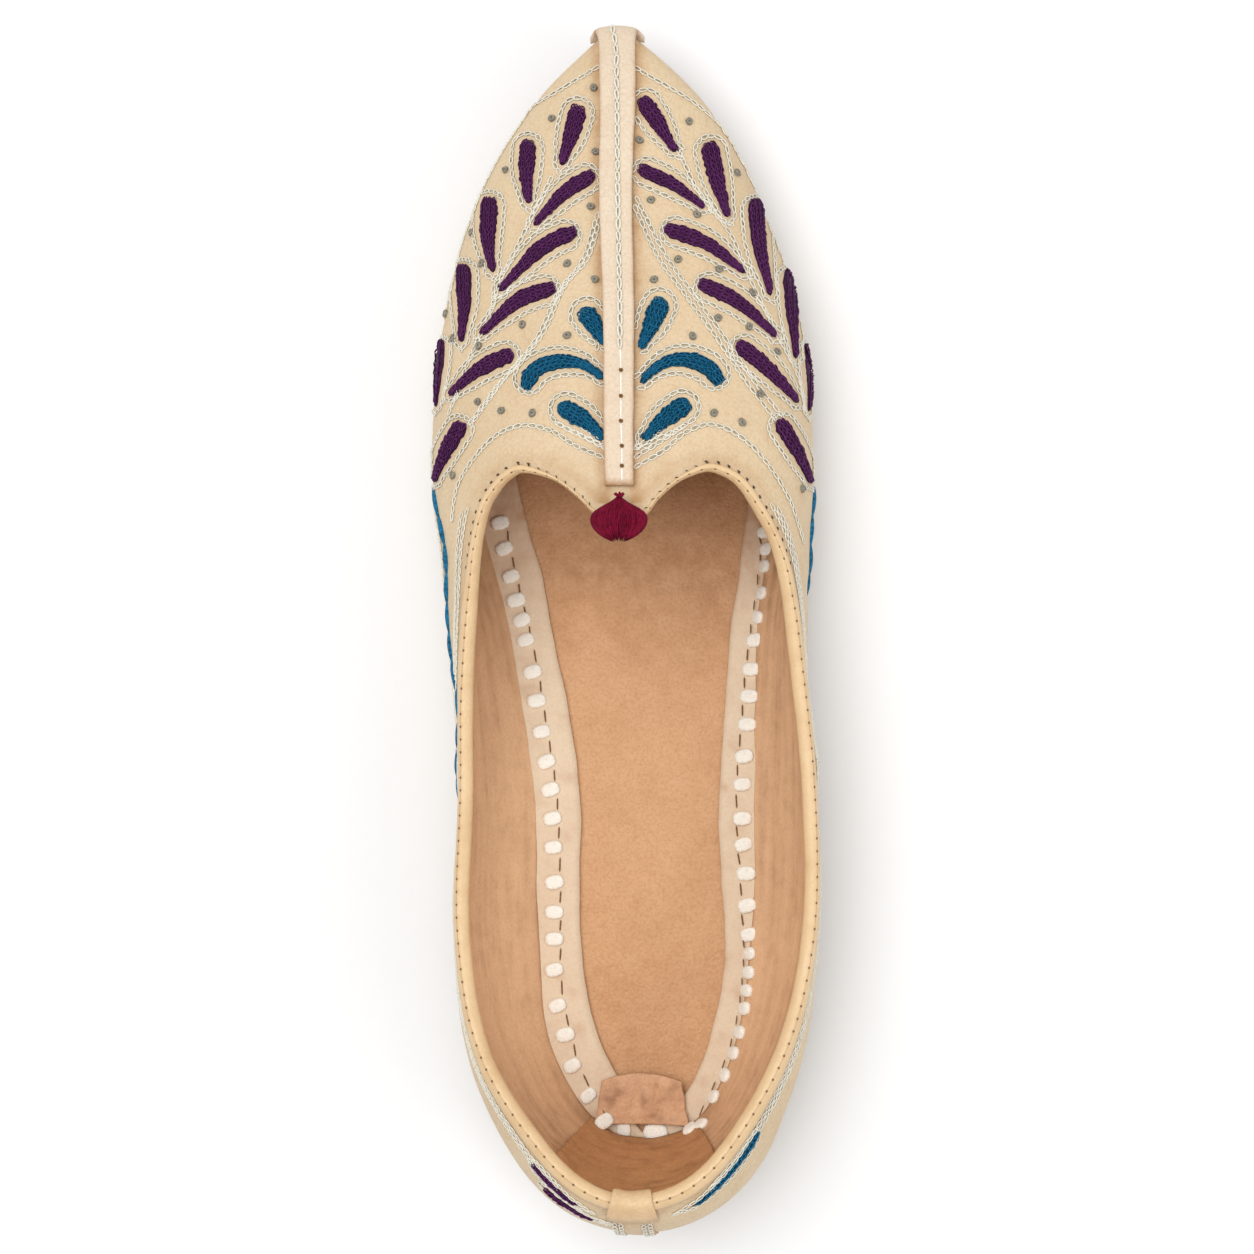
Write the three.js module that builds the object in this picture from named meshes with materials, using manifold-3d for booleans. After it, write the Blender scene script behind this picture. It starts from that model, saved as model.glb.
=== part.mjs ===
// Left mojari: a soft leather shoe with a curved pointed toe, standing empty on its sole.
// Millimetres, +Z up, +Y toward the toe, +X toward the inner side of the foot.
// The origin lies on the floor, at the middle of the heel's resting face.

import * as THREE from "three";
import { mergeVertices } from "three/addons/utils/BufferGeometryUtils.js";
import Module from "manifold-3d";

// Driving dimensions

const SHOE_LENGTH = 278;
const BALL_WIDTH = 90;
const HEEL_WIDTH = 84;
const INSTEP_HEIGHT = 48;
const BACK_HEIGHT = 50;
const SIDE_HEIGHT = 38;
const WALL = 2;
const SIDE_TUCK = 12;
const SIDE_BULGE = 18;
const TOE_SWING = 5.4;
const RIDGE_SHIFT = 2;

const SOLE_THICKNESS = 4;
const SOLE_MARGIN = 1.5;
const SOLE_TOP_ROUND = 0.5;
const SOLE_TREAD_ROUND = 0.8;
const HEEL_HEIGHT = 5;
const HEEL_LENGTH = 66;
const HEEL_STEP_IN = 0.2;
const HEEL_TAPER = 1;
const ARCH_RISE = 1.2;
const TOE_SPRING = 14;
const INSOLE_THICKNESS = 1.5;
const INSOLE_BEVEL = 0.2;

const BAND_WIDTH = 12;
const BAND_THICKNESS = 1.1;
const BAND_LAP = 3;
const BAND_SWELL = 0.2;
const BAND_STAND = 0.5;
const BAND_ROUND = 1.5;
const PAD_WIDTH = 22;
const PAD_LENGTH = 12;
const PAD_THICKNESS = 1;
const PAD_BACK = 22;
const PAD_DISH_START = 18.5;
const PAD_DISH_RADIUS = 5.5;
const LINING_WIDTH = 34;
const LINING_THICKNESS = 0.8;

const BINDING_THICKNESS = 0.8;
const BINDING_LEG = 3;
const WRAP_WIDTH = 13.5;
const WRAP_LEG = 5.5;
const WRAP_THICKNESS = 0.8;
const BACKSTAY_WIDTH = 10;
const BACKSTAY_THICKNESS = 0.8;

const STRAP_THICKNESS = 1.6;
const STRAP_END_WIDTH = 6.4;
const STRAP_TOE_WIDTH = 10;
const STRAP_FOOT_WIDTH = 12.6;
const STRAP_DROP = 0.7;

const TASSEL_LENGTH = 12;
const TASSEL_SPREAD = 6.2;
const KNOT_RADIUS = 2.4;
const LOCK_RADIUS = 1.1;
const LOCK_COUNT = 9;

const CLEARANCE = 0.3;

// Shape tables: lengths are shares of the named sizes above

// station runs from the heel's back, 0, to the toe's tip, 12
// heel and ball are shares of half the heel width and half the ball width, swing of the toe's swing
// tuck is how far the foot of the wall lies inside the widest line, bulge how high that line lies
// ridge is the height of the last's ridge above the sole, a share of the instep height
// left and right give how full the section is on either side, 2 being an ellipse
const SECTIONS = [
  { station: 0, heel: 0, ball: 0, swing: 0, tuck: 1.04, bulge: 0.9, ridge: 1.05, left: 2.2, right: 2.2 },
  { station: 1, heel: 0.405, ball: 0, swing: -0.1, tuck: 1.02, bulge: 0.92, ridge: 1.04, left: 2.2, right: 2.2 },
  { station: 2, heel: 0.712, ball: 0, swing: -0.06, tuck: 0.95, bulge: 0.96, ridge: 1.02, left: 2.2, right: 2.2 },
  { station: 3, heel: 0.924, ball: 0, swing: 0.08, tuck: 0.92, bulge: 1, ridge: 1, left: 2.3, right: 2.3 },
  { station: 4, heel: 1.005, ball: 0, swing: 0, tuck: 0.97, bulge: 1, ridge: 0.98, left: 2.4, right: 2.5 },
  { station: 5, heel: 0.6, ball: 0.362, swing: -0.02, tuck: 0.96, bulge: 0.98, ridge: 1.04, left: 2.3, right: 2.7 },
  { station: 6, heel: 0.2, ball: 0.746, swing: 0.5, tuck: 0.73, bulge: 0.87, ridge: 1.07, left: 2.05, right: 2.8 },
  { station: 7, heel: 0, ball: 0.996, swing: 0.78, tuck: 0.55, bulge: 0.69, ridge: 0.99, left: 2, right: 2.6 },
  { station: 8, heel: 0, ball: 0.948, swing: 0.85, tuck: 0.58, bulge: 0.61, ridge: 0.81, left: 2, right: 2.4 },
  { station: 9, heel: 0, ball: 0.761, swing: 1, tuck: 0.5, bulge: 0.52, ridge: 0.59, left: 2, right: 2.2 },
  { station: 10, heel: 0, ball: 0.493, swing: 0.91, tuck: 0.29, bulge: 0.38, ridge: 0.37, left: 2, right: 2.1 },
  { station: 11, heel: 0, ball: 0.19, swing: 0.92, tuck: 0.11, bulge: 0.27, ridge: 0.19, left: 2, right: 2 },
  { station: 12, heel: 0, ball: 0, swing: 1, tuck: 0.08, bulge: 0.2, ridge: 0.075, left: 2, right: 2 },
];

// The collar from the back centre forward: height shares of the back height and the side height
const COLLAR = [
  { along: 0, back: 1, side: 0 },
  { along: 0.035, back: 0.8, side: 0.26 },
  { along: 0.1, back: 0.45, side: 0.67 },
  { along: 0.2, back: 0.16, side: 0.88 },
  { along: 0.3, back: 0, side: 1.01 },
  { along: 0.4, back: 0, side: 1.01 },
];

// The throat from the collar round each lobe's outer side to its front
// reach is the distance from the ridge as a share of the way to the widest line
const LOBE_SIDE = [
  { along: 0.485, left: 0.875, right: 0.95 },
  { along: 0.539, left: 0.805, right: 0.895 },
  { along: 0.572, left: 0.752, right: 0.82 },
  { along: 0.599, left: 0.69, right: 0.718 },
  { along: 0.614, left: 0.626, right: 0.65 },
  { along: 0.623, left: 0.57, right: 0.585 },
  { along: 0.629, left: 0.495, right: 0.47 },
];

// Each lobe's inner side, from its front back to the tongue's tip
const TONGUE_SIDE = [
  { along: 0.629, left: 0.495, right: 0.47 },
  { along: 0.6245, left: 0.37, right: 0.37 },
  { along: 0.617, left: 0.28, right: 0.285 },
  { along: 0.6055, left: 0.197, right: 0.2 },
  { along: 0.594, left: 0.128, right: 0.138 },
  { along: 0.583, left: 0, right: 0 },
];

// Where the sole's underside leaves the heel, tops its arch, meets the floor and springs to the toe
const SEAT_END = 0.25;
const ARCH_TOP = 0.38;
const BALL_START = 0.56;
const SPRING_START = 0.74;

// The strap's half widths from the throat to the sole in front of the toe
const STRAP_WIDTHS = [
  { way: 0, end: 1, toe: 0, foot: 0 },
  { way: 0.55, end: 0.5, toe: 0.5, foot: 0 },
  { way: 0.9, end: 0, toe: 1, foot: 0 },
  { way: 1, end: 0, toe: 0, foot: 1 },
];

// The inner band's width on either side, in shares of the band width, from the back centre forward
const BAND_WIDTHS = [
  { station: 0, left: 0.48, right: 0.48 },
  { station: 0.1, left: 1.08, right: 0.75 },
  { station: 0.2, left: 1.25, right: 0.77 },
  { station: 0.25, left: 1.28, right: 0.76 },
  { station: 0.3, left: 1.21, right: 0.73 },
  { station: 0.38, left: 1.13, right: 0.87 },
  { station: 0.48, left: 1, right: 0.7 },
  { station: 0.53, left: 0.97, right: 0.6 },
  { station: 0.58, left: 0.84, right: 0.6 },
  { station: 0.68, left: 0.7, right: 0.6 },
];

// Stations and ways along where pieces start and end
const SOLE_END = 0.02;
const INSOLE_START = 0.04;
const INSOLE_END = 0.93;
const BAND_END = 0.68;
const STRAP_START = 0.614;
const KNOT_ALONG = 0.606;

// Shares that shape the small pieces
const PAD_TAPER = 0.14;
const PAD_ARCH = 0.16;
const LOCK_SHORTENING = 0.1;
const COUNTER_FOOT = 0.16;
const BACKSTAY_FOOT = 0.02;

// How finely the faces are laid
const SIDE_ROWS = 10;
const TOP_COLUMNS = 5;
const VAMP_STEPS = 15;
const SOLE_STEPS = 40;
const BAND_STEPS = 26;

const STATIONS = 12;
const STATION_STEP = 0.022;
const LOW_SHARE = 0.3;
const LOW_POWER = 1.8;
const HEEL_CENTRE = 0.5 * HEEL_WIDTH;
const FAN_BLEND = 20;
const WALL_MIDDLE = WALL / 2;
const SMALL = 1e-4;
const LITTLE = 2e-3;
const LEFT = -1;
const RIGHT = 1;

// Smooth reading of a table between its rows

function follow(table, key, column, at) {
  const last = table.length - 1;
  if (at <= table[0][key]) return table[0][column];
  if (at >= table[last][key]) return table[last][column];
  let row = 0;
  while (at > table[row + 1][key]) row += 1;
  const slope = (index) => {
    const before = table[Math.max(index - 1, 0)];
    const after = table[Math.min(index + 1, last)];
    const here = table[index];
    const fall = (here[column] - before[column]) / (here[key] - before[key]);
    const rise = (after[column] - here[column]) / (after[key] - here[key]);
    if (index === 0) return rise;
    if (index === last) return fall;
    const spanBefore = here[key] - before[key];
    const spanAfter = after[key] - here[key];
    return (fall * spanAfter + rise * spanBefore) / (spanBefore + spanAfter);
  };
  const span = table[row + 1][key] - table[row][key];
  const u = (at - table[row][key]) / span;
  const from = table[row][column];
  const to = table[row + 1][column];
  return (2 * u ** 3 - 3 * u ** 2 + 1) * from + (u ** 3 - 2 * u ** 2 + u) * span * slope(row)
    + (3 * u ** 2 - 2 * u ** 3) * to + (u ** 3 - u ** 2) * span * slope(row + 1);
}

const section = (station, column) => follow(SECTIONS, "station", column, station * STATIONS);

function ease(at, from, to) {
  const share = THREE.MathUtils.clamp((at - from) / (to - from), 0, 1);
  return share * share * (3 - 2 * share);
}

// Lengths along the shoe

const alongOf = (station) => (1 - Math.cos(Math.PI * station)) / 2;
const stationOf = (along) => Math.acos(1 - 2 * along) / Math.PI;
const SEAT_BACK = SIDE_TUCK * SECTIONS[0].tuck - SOLE_MARGIN;
const BACK_Y = -(SEAT_BACK + HEEL_LENGTH) / 2;
const alongAt = (y) => THREE.MathUtils.clamp((y - BACK_Y) / SHOE_LENGTH, 0, 1);

// Heights of the sole

function undersideAt(y) {
  const along = alongAt(y);
  const heel = 1 - ease(along, SEAT_END, BALL_START);
  const arch = ease(along, SEAT_END, ARCH_TOP) - ease(along, ARCH_TOP, BALL_START);
  const spring = Math.max(0, (along - SPRING_START) / (1 - SPRING_START)) ** 2;
  return heel * (HEEL_HEIGHT + CLEARANCE) + arch * ARCH_RISE + spring * TOE_SPRING;
}

const soleTopAt = (y) => undersideAt(y) + SOLE_THICKNESS;
const seatAt = (y) => soleTopAt(y) + CLEARANCE;

// The last: outline, ridge and sections

function outline(side, station) {
  const halfWidth = section(station, "heel") * HEEL_WIDTH / 2 + section(station, "ball") * BALL_WIDTH / 2;
  const x = -section(station, "swing") * TOE_SWING + side * halfWidth;
  return new THREE.Vector2(x, BACK_Y + SHOE_LENGTH * alongOf(station));
}

function inward(side, station) {
  if (station < SMALL) return new THREE.Vector2(0, 1);
  if (station > 1 - SMALL) return new THREE.Vector2(0, -1);
  const step = SMALL / 2;
  const run = outline(side, station + step).sub(outline(side, station - step)).normalize();
  return side === LEFT ? new THREE.Vector2(run.y, -run.x) : new THREE.Vector2(-run.y, run.x);
}

const widestAt = (station) => seatAt(outline(LEFT, station).y) + section(station, "bulge") * SIDE_BULGE;

function ridge(station, inset) {
  const x = -section(station, "swing") * TOE_SWING + ridgeShift(station);
  const along = alongOf(station) * SHOE_LENGTH;
  const gap = along - HEEL_CENTRE;
  const blend = Math.max(0, FAN_BLEND - Math.abs(gap));
  const reach = Math.max(along, HEEL_CENTRE) + blend ** 2 / (4 * FAN_BLEND);
  const height = ridgeHeight(station);
  if (station < 0.5) return new THREE.Vector3(x, BACK_Y + reach, height - inset);
  const step = SMALL;
  const ahead = Math.min(station + step, 1);
  const rise = ridgeHeight(ahead) - ridgeHeight(ahead - 2 * step);
  const run = SHOE_LENGTH * (alongOf(ahead) - alongOf(ahead - 2 * step));
  const size = Math.hypot(rise, run);
  const nose = station > 1 - SMALL;
  const back = nose ? -1 : rise / size;
  const down = nose ? 0 : run / size;
  return new THREE.Vector3(x, BACK_Y + reach + inset * back, height - inset * down);
}

function ridgeHeight(station) {
  const y = BACK_Y + SHOE_LENGTH * alongOf(station);
  return seatAt(y) + section(station, "ridge") * INSTEP_HEIGHT;
}

function ridgeShift(station) {
  return RIDGE_SHIFT * Math.sin(Math.PI * station) ** 2;
}

// A point of the last's surface: girth runs from the foot of the wall, 0, to the ridge, 1
// inset lies inside the outer face, or outside it where negative

function surface(side, station, girth, inset) {
  if (station < 0) return surface(-side, -station, girth, inset);
  if (girth > 1) return surface(-side, station, 2 - girth, inset);
  const normal = inward(side, station);
  const edge = outline(side, station);
  const widest = widestAt(station);
  if (girth <= LOW_SHARE) {
    const fall = 1 - girth / LOW_SHARE;
    const tuck = section(station, "tuck") * SIDE_TUCK;
    const deep = section(station, "bulge") * SIDE_BULGE;
    const slope = LOW_POWER * tuck * fall ** (LOW_POWER - 1) / deep;
    edge.addScaledVector(normal, tuck * fall ** LOW_POWER + inset * Math.hypot(1, slope));
    return new THREE.Vector3(edge.x, edge.y, widest + (seatAt(edge.y) - widest) * fall);
  }
  const angle = (girth - LOW_SHARE) / (1 - LOW_SHARE) * Math.PI / 2;
  const fullness = section(station, side === LEFT ? "left" : "right");
  const top = ridge(station, inset);
  const out = girth === 1 ? 0 : Math.cos(angle) ** (2 / fullness);
  const up = Math.sin(angle) ** (2 / fullness);
  edge.addScaledVector(normal, inset);
  return new THREE.Vector3(
    top.x + (edge.x - top.x) * out,
    top.y + (edge.y - top.y) * out,
    widest + (top.z - widest) * up,
  );
}

function girthAtHeight(side, station, height) {
  const widest = widestAt(station);
  const fullness = section(station, side === LEFT ? "left" : "right");
  const up = Math.max((height - widest) / (ridgeHeight(station) - widest), 0.02);
  return LOW_SHARE + (1 - LOW_SHARE) * Math.asin(up ** (fullness / 2)) / (Math.PI / 2);
}

function girthAtReach(side, station, reach) {
  const fullness = section(station, side === LEFT ? "left" : "right");
  return LOW_SHARE + (1 - LOW_SHARE) * Math.acos(reach ** (fullness / 2)) / (Math.PI / 2);
}

// The opening's edge as a smooth run of stations and girths

const collarKnots = (side) => COLLAR.map((row) => {
  const station = stationOf(row.along);
  const height = row.back * BACK_HEIGHT + row.side * SIDE_HEIGHT;
  return { station, girth: girthAtHeight(side, station, height) };
});

const throatKnots = (side, table) => table.map((row) => {
  const station = stationOf(row.along);
  return { station, girth: girthAtReach(side, station, side === LEFT ? row.left : row.right) };
});

function smoothRun(knots, before, after) {
  const all = [before, ...knots, after];
  const run = [];
  for (let row = 1; row < all.length - 2; row += 1) {
    const span = Math.abs(all[row + 1].station - all[row].station);
    const pieces = Math.max(Math.ceil(span / STATION_STEP), 2);
    for (let piece = 0; piece < pieces; piece += 1) run.push(between(all, row, piece / pieces));
  }
  run.push(knots[knots.length - 1]);
  return run;
}

function between(all, row, u) {
  const value = (key) => {
    const from = all[row][key];
    const to = all[row + 1][key];
    const leave = (to - all[row - 1][key]) / 2;
    const reach = (all[row + 2][key] - from) / 2;
    return (2 * u ** 3 - 3 * u ** 2 + 1) * from + (u ** 3 - 2 * u ** 2 + u) * leave
      + (3 * u ** 2 - 2 * u ** 3) * to + (u ** 3 - u ** 2) * reach;
  };
  return { station: value("station"), girth: value("girth") };
}

const mirrored = (knot, about) => ({
  station: knot.station,
  girth: 2 * about.girth - knot.girth,
});

function collarRun(side) {
  const knots = [...collarKnots(side), ...throatKnots(side, LOBE_SIDE)];
  const before = { station: -knots[1].station, girth: knots[1].girth };
  return smoothRun(knots, before, mirrored(knots.at(-2), knots.at(-1)));
}

function tongueRun(side) {
  const knots = throatKnots(side, TONGUE_SIDE);
  return smoothRun(knots, mirrored(knots[1], knots[0]), mirrored(knots.at(-2), knots.at(-1)));
}

// Solids from faces

function meshOf(name, triangles, finish) {
  const positions = [];
  for (const corners of triangles) {
    const [a, b, c] = corners;
    if (a.distanceTo(b) < SMALL || b.distanceTo(c) < SMALL || c.distanceTo(a) < SMALL) continue;
    positions.push(...a.toArray(), ...b.toArray(), ...c.toArray());
  }
  let volume = 0;
  for (let i = 0; i < positions.length; i += 9) {
    const [ax, ay, az, bx, by, bz, cx, cy, cz] = positions.slice(i, i + 9);
    volume += ax * (by * cz - bz * cy) + ay * (bz * cx - bx * cz) + az * (bx * cy - by * cx);
  }
  if (volume < 0) {
    for (let i = 0; i < positions.length; i += 9) {
      for (let axis = 0; axis < 3; axis += 1) {
        const swap = positions[i + 3 + axis];
        positions[i + 3 + axis] = positions[i + 6 + axis];
        positions[i + 6 + axis] = swap;
      }
    }
  }
  const geometry = new THREE.BufferGeometry();
  geometry.setAttribute("position", new THREE.Float32BufferAttribute(positions, 3));
  const merged = mergeVertices(geometry, 2 * SMALL);
  merged.computeVertexNormals();
  const mesh = new THREE.Mesh(merged, new THREE.MeshStandardMaterial(finish));
  mesh.name = name;
  return mesh;
}

// A wall between a front and a back, both laid out on the same grids
// Each grid is a list of rows of places, and the places where grids meet are shared

function wallTriangles(grids, frontAt, backAt) {
  const fronts = [];
  const backs = [];
  const known = new Map();
  const indexOf = (place) => {
    const front = frontAt(place);
    const key = front.toArray().map((value) => Math.round(value / (5 * SMALL))).join();
    if (!known.has(key)) {
      known.set(key, fronts.length);
      fronts.push(front);
      backs.push(backAt(place));
    }
    return known.get(key);
  };
  const faces = [];
  for (const grid of grids) {
    const rows = grid.rows.map((row) => row.map(indexOf));
    for (let i = 0; i < rows.length - 1; i += 1) {
      for (let j = 0; j < rows[i].length - 1; j += 1) {
        const quad = [rows[i][j], rows[i + 1][j], rows[i + 1][j + 1], rows[i][j + 1]];
        if (grid.turned) quad.reverse();
        const [a, b, c, d] = quad;
        if (a !== b && b !== c && c !== a) faces.push([a, b, c]);
        if (a !== c && c !== d && d !== a) faces.push([a, c, d]);
      }
    }
  }
  const edges = new Map();
  for (const face of faces) {
    for (let k = 0; k < 3; k += 1) edges.set(`${face[k]},${face[(k + 1) % 3]}`, [face[k], face[(k + 1) % 3]]);
  }
  const triangles = [];
  for (const [a, b, c] of faces) {
    triangles.push([fronts[a], fronts[b], fronts[c]], [backs[c], backs[b], backs[a]]);
  }
  for (const [a, b] of edges.values()) {
    if (edges.has(`${b},${a}`)) continue;
    triangles.push([fronts[b], fronts[a], backs[a]], [fronts[b], backs[a], backs[b]]);
  }
  return triangles;
}

// A closed or open run of rings, each a closed list of points

function sweptTriangles(rings, closed) {
  const triangles = [];
  const count = rings[0].length;
  const last = closed ? rings.length : rings.length - 1;
  for (let i = 0; i < last; i += 1) {
    const here = rings[i];
    const next = rings[(i + 1) % rings.length];
    for (let j = 0; j < count; j += 1) {
      const k = (j + 1) % count;
      triangles.push([here[j], here[k], next[k]], [here[j], next[k], next[j]]);
    }
  }
  return triangles;
}

function capTriangles(ring, turned) {
  const flat = ring.map((point) => point.clone());
  const across = flat[Math.floor(flat.length / 2)].clone().sub(flat[0]);
  const normal = new THREE.Vector3();
  for (let k = 0; k < flat.length; k += 1) {
    normal.add(new THREE.Vector3().crossVectors(flat[k], flat[(k + 1) % flat.length]));
  }
  normal.normalize();
  const right = across.addScaledVector(normal, -across.dot(normal)).normalize();
  const up = new THREE.Vector3().crossVectors(normal, right);
  const contour = flat.map((point) => new THREE.Vector2(point.dot(right), point.dot(up)));
  const faces = THREE.ShapeUtils.triangulateShape(contour, []);
  return faces.map(([a, b, c]) => (turned ? [ring[c], ring[b], ring[a]] : [ring[a], ring[b], ring[c]]));
}

function steps(from, to, count) {
  return Array.from({ length: count + 1 }, (_, i) => from + (to - from) * i / count);
}

// Colours and finishes

const IVORY = { color: 0xe9d8b6, roughness: 0.62, metalness: 0 };
const PALE_RIM = { color: 0xeadcc0, roughness: 0.5, metalness: 0 };
const PEACH = { color: 0xe6c9a2, roughness: 0.6, metalness: 0 };
const TAN = { color: 0xb98a5c, roughness: 0.7, metalness: 0 };
const SOLE_TAN = { color: 0xa9794b, roughness: 0.75, metalness: 0 };
const CRIMSON = { color: 0x8c1440, roughness: 0.6, metalness: 0 };

// Upper: one hollow wall, its sides in two strips and the vamp and tongue in a third

function vampStations(front) {
  return steps(front, 1, VAMP_STEPS).slice(1);
}

function upper() {
  const runs = { [LEFT]: collarRun(LEFT), [RIGHT]: collarRun(RIGHT) };
  const grids = [];
  for (const side of [LEFT, RIGHT]) {
    const front = runs[side][runs[side].length - 1];
    const vamp = vampStations(front.station).map((station) => ({ station, girth: front.girth }));
    const edge = [...runs[side], ...vamp];
    const rows = edge.map((place) => steps(0, place.girth, SIDE_ROWS)
      .map((girth) => ({ side, station: place.station, girth })));
    grids.push({ rows, turned: side === RIGHT });
  }
  const tongue = { [LEFT]: tongueRun(LEFT).reverse(), [RIGHT]: tongueRun(RIGHT).reverse() };
  const front = { [LEFT]: tongue[LEFT].at(-1), [RIGHT]: tongue[RIGHT].at(-1) };
  const stations = [...tongue[LEFT].map((place) => place.station), ...vampStations(front[LEFT].station)];
  const rows = stations.map((station, index) => {
    const half = (side) => {
      const girth = index < tongue[side].length ? tongue[side][index].girth : front[side].girth;
      return steps(girth, 1, TOP_COLUMNS).map((value) => ({ side, station, girth: value }));
    };
    return [...half(LEFT), ...half(RIGHT).reverse().slice(1)];
  });
  grids.push({ rows, turned: false });
  const at = (inset) => (place) => surface(place.side, place.station, place.girth, inset);
  return meshOf("upper", wallTriangles(grids, at(0), at(WALL)), IVORY);
}

// Flat pieces across the shoe, between its two sides

function acrossTriangles(stations, edgeAt, heights) {
  const rings = stations.map((station) => {
    const half = (side) => heights.map((row) => pointOver(edgeAt(side, station, row.inset), row.height));
    return [...half(LEFT), ...half(RIGHT).reverse()];
  });
  return [
    ...capTriangles(rings[0], true),
    ...sweptTriangles(rings, false),
    ...capTriangles(rings.at(-1), false),
  ];
}

const pointOver = (spot, heightAt) => new THREE.Vector3(spot.x, spot.y, heightAt(spot.y));

function footLine(side, station, inset) {
  const tuck = section(station, "tuck") * SIDE_TUCK;
  return outline(side, station).addScaledVector(inward(side, station), tuck + inset);
}

const wallFoot = (station) => {
  const slope = LOW_POWER * section(station, "tuck") * SIDE_TUCK / (section(station, "bulge") * SIDE_BULGE);
  return WALL * Math.hypot(1, slope);
};

function outsole() {
  const edgeAt = (side, station, inset) => footLine(side, station, inset - SOLE_MARGIN);
  const heights = [
    { inset: SOLE_TOP_ROUND, height: soleTopAt },
    { inset: 0, height: (y) => soleTopAt(y) - 0.25 * SOLE_THICKNESS },
    { inset: 0, height: (y) => undersideAt(y) + 0.3 * SOLE_THICKNESS },
    { inset: SOLE_TREAD_ROUND, height: undersideAt },
  ];
  const stations = steps(SOLE_END, 1 - SOLE_END, SOLE_STEPS);
  return meshOf("outsole", acrossTriangles(stations, edgeAt, heights), SOLE_TAN);
}

function heelLift() {
  const breast = stationOf(HEEL_LENGTH / SHOE_LENGTH);
  const edgeAt = (side, station, inset) => {
    const spot = footLine(side, station, inset - SOLE_MARGIN);
    return new THREE.Vector2(spot.x, Math.min(spot.y, BACK_Y + HEEL_LENGTH));
  };
  const heights = [
    { inset: HEEL_STEP_IN, height: () => HEEL_HEIGHT },
    { inset: HEEL_STEP_IN + 0.3 * HEEL_TAPER, height: () => 0.5 * HEEL_HEIGHT },
    { inset: HEEL_STEP_IN + HEEL_TAPER, height: () => 0 },
  ];
  return meshOf("heel_lift", acrossTriangles(steps(SOLE_END, breast, 14), edgeAt, heights), SOLE_TAN);
}

function insole() {
  const edgeAt = (side, station, inset) => footLine(side, station, inset + wallFoot(station) + CLEARANCE);
  const heights = [
    { inset: 0, height: (y) => seatAt(y) + INSOLE_THICKNESS },
    { inset: INSOLE_BEVEL, height: seatAt },
  ];
  return meshOf("insole", acrossTriangles(steps(INSOLE_START, INSOLE_END, 34), edgeAt, heights), TAN);
}

// The lasting margin inside: a strip from the throat round the heel and back, rising to the wall

function bandRing(side, station) {
  const width = BAND_WIDTH * follow(BAND_WIDTHS, "station", side === LEFT ? "left" : "right", station);
  const floor = (y) => seatAt(y) + INSOLE_THICKNESS + CLEARANCE;
  const wallAt = (rise) => {
    const deep = section(station, "bulge") * SIDE_BULGE;
    const fall = 1 - rise / deep;
    const tuck = section(station, "tuck") * SIDE_TUCK;
    const slope = LOW_POWER * tuck * fall ** (LOW_POWER - 1) / deep;
    return tuck * (fall ** LOW_POWER - 1) + WALL * Math.hypot(1, slope) + 2 * CLEARANCE;
  };
  const foot = INSOLE_THICKNESS + CLEARANCE;
  const profile = [
    { inset: wallAt(foot) + width, rise: 0 },
    { inset: wallAt(foot) + width * 0.3, rise: BAND_SWELL },
    { inset: wallAt(foot + BAND_LAP) + BAND_STAND, rise: BAND_LAP },
    { inset: wallAt(foot + BAND_LAP + BAND_THICKNESS) + 0.8 * BAND_STAND, rise: BAND_LAP + BAND_THICKNESS },
    { inset: wallAt(foot + BAND_LAP) + BAND_THICKNESS + BAND_ROUND, rise: BAND_LAP * 0.5 + BAND_THICKNESS },
    { inset: wallAt(foot) + width * 0.4, rise: BAND_SWELL + BAND_THICKNESS },
    { inset: wallAt(foot) + width, rise: BAND_THICKNESS },
  ];
  return profile.map((row) => {
    const spot = footLine(side, station, row.inset);
    return new THREE.Vector3(spot.x, spot.y, floor(spot.y) + row.rise);
  });
}

function innerBand() {
  const left = steps(0, BAND_END, BAND_STEPS).reverse().map((station) => bandRing(LEFT, station));
  const right = steps(0, BAND_END, BAND_STEPS).slice(1).map((station) => bandRing(RIGHT, station));
  const rings = [...left, ...right];
  const triangles = sweptTriangles(rings, false);
  triangles.push(...capTriangles(rings[0], true), ...capTriangles(rings.at(-1), false));
  return meshOf("inner_band", triangles, PEACH);
}

// Heel pad: a small dished tab with an arched front, lying on the band's arms over the insole

function heelPad() {
  const centre = new THREE.Vector2(0, BACK_Y + HEEL_CENTRE);
  const level = seatAt(centre.y) + INSOLE_THICKNESS + 2 * CLEARANCE + BAND_THICKNESS * 1.3;
  const rows = steps(0, 1, 5).map((way) => steps(-1, 1, 8).map((across) => ({ way, across })));
  const at = (thickness) => ({ way, across }) => {
    const half = PAD_WIDTH / 2 * (1 - PAD_TAPER * way);
    const front = PAD_LENGTH * (1 - PAD_ARCH * across ** 2);
    const x = half * across;
    const y = BACK_Y + PAD_BACK + front * way;
    const away = Math.max(0, Math.hypot(x - centre.x, y - centre.y) - PAD_DISH_START);
    return new THREE.Vector3(x, y, level + away ** 2 / (2 * PAD_DISH_RADIUS) + thickness);
  };
  return meshOf("heel_pad", wallTriangles([{ rows, turned: false }], at(PAD_THICKNESS), at(0)), PEACH);
}

// Pieces on the back wall, laid out across the back centre

const widthStation = (width) => {
  let station = 0.01;
  for (let turn = 0; turn < 12; turn += 1) station *= width / 2 / Math.abs(outline(RIGHT, station).x);
  return station;
};

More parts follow.
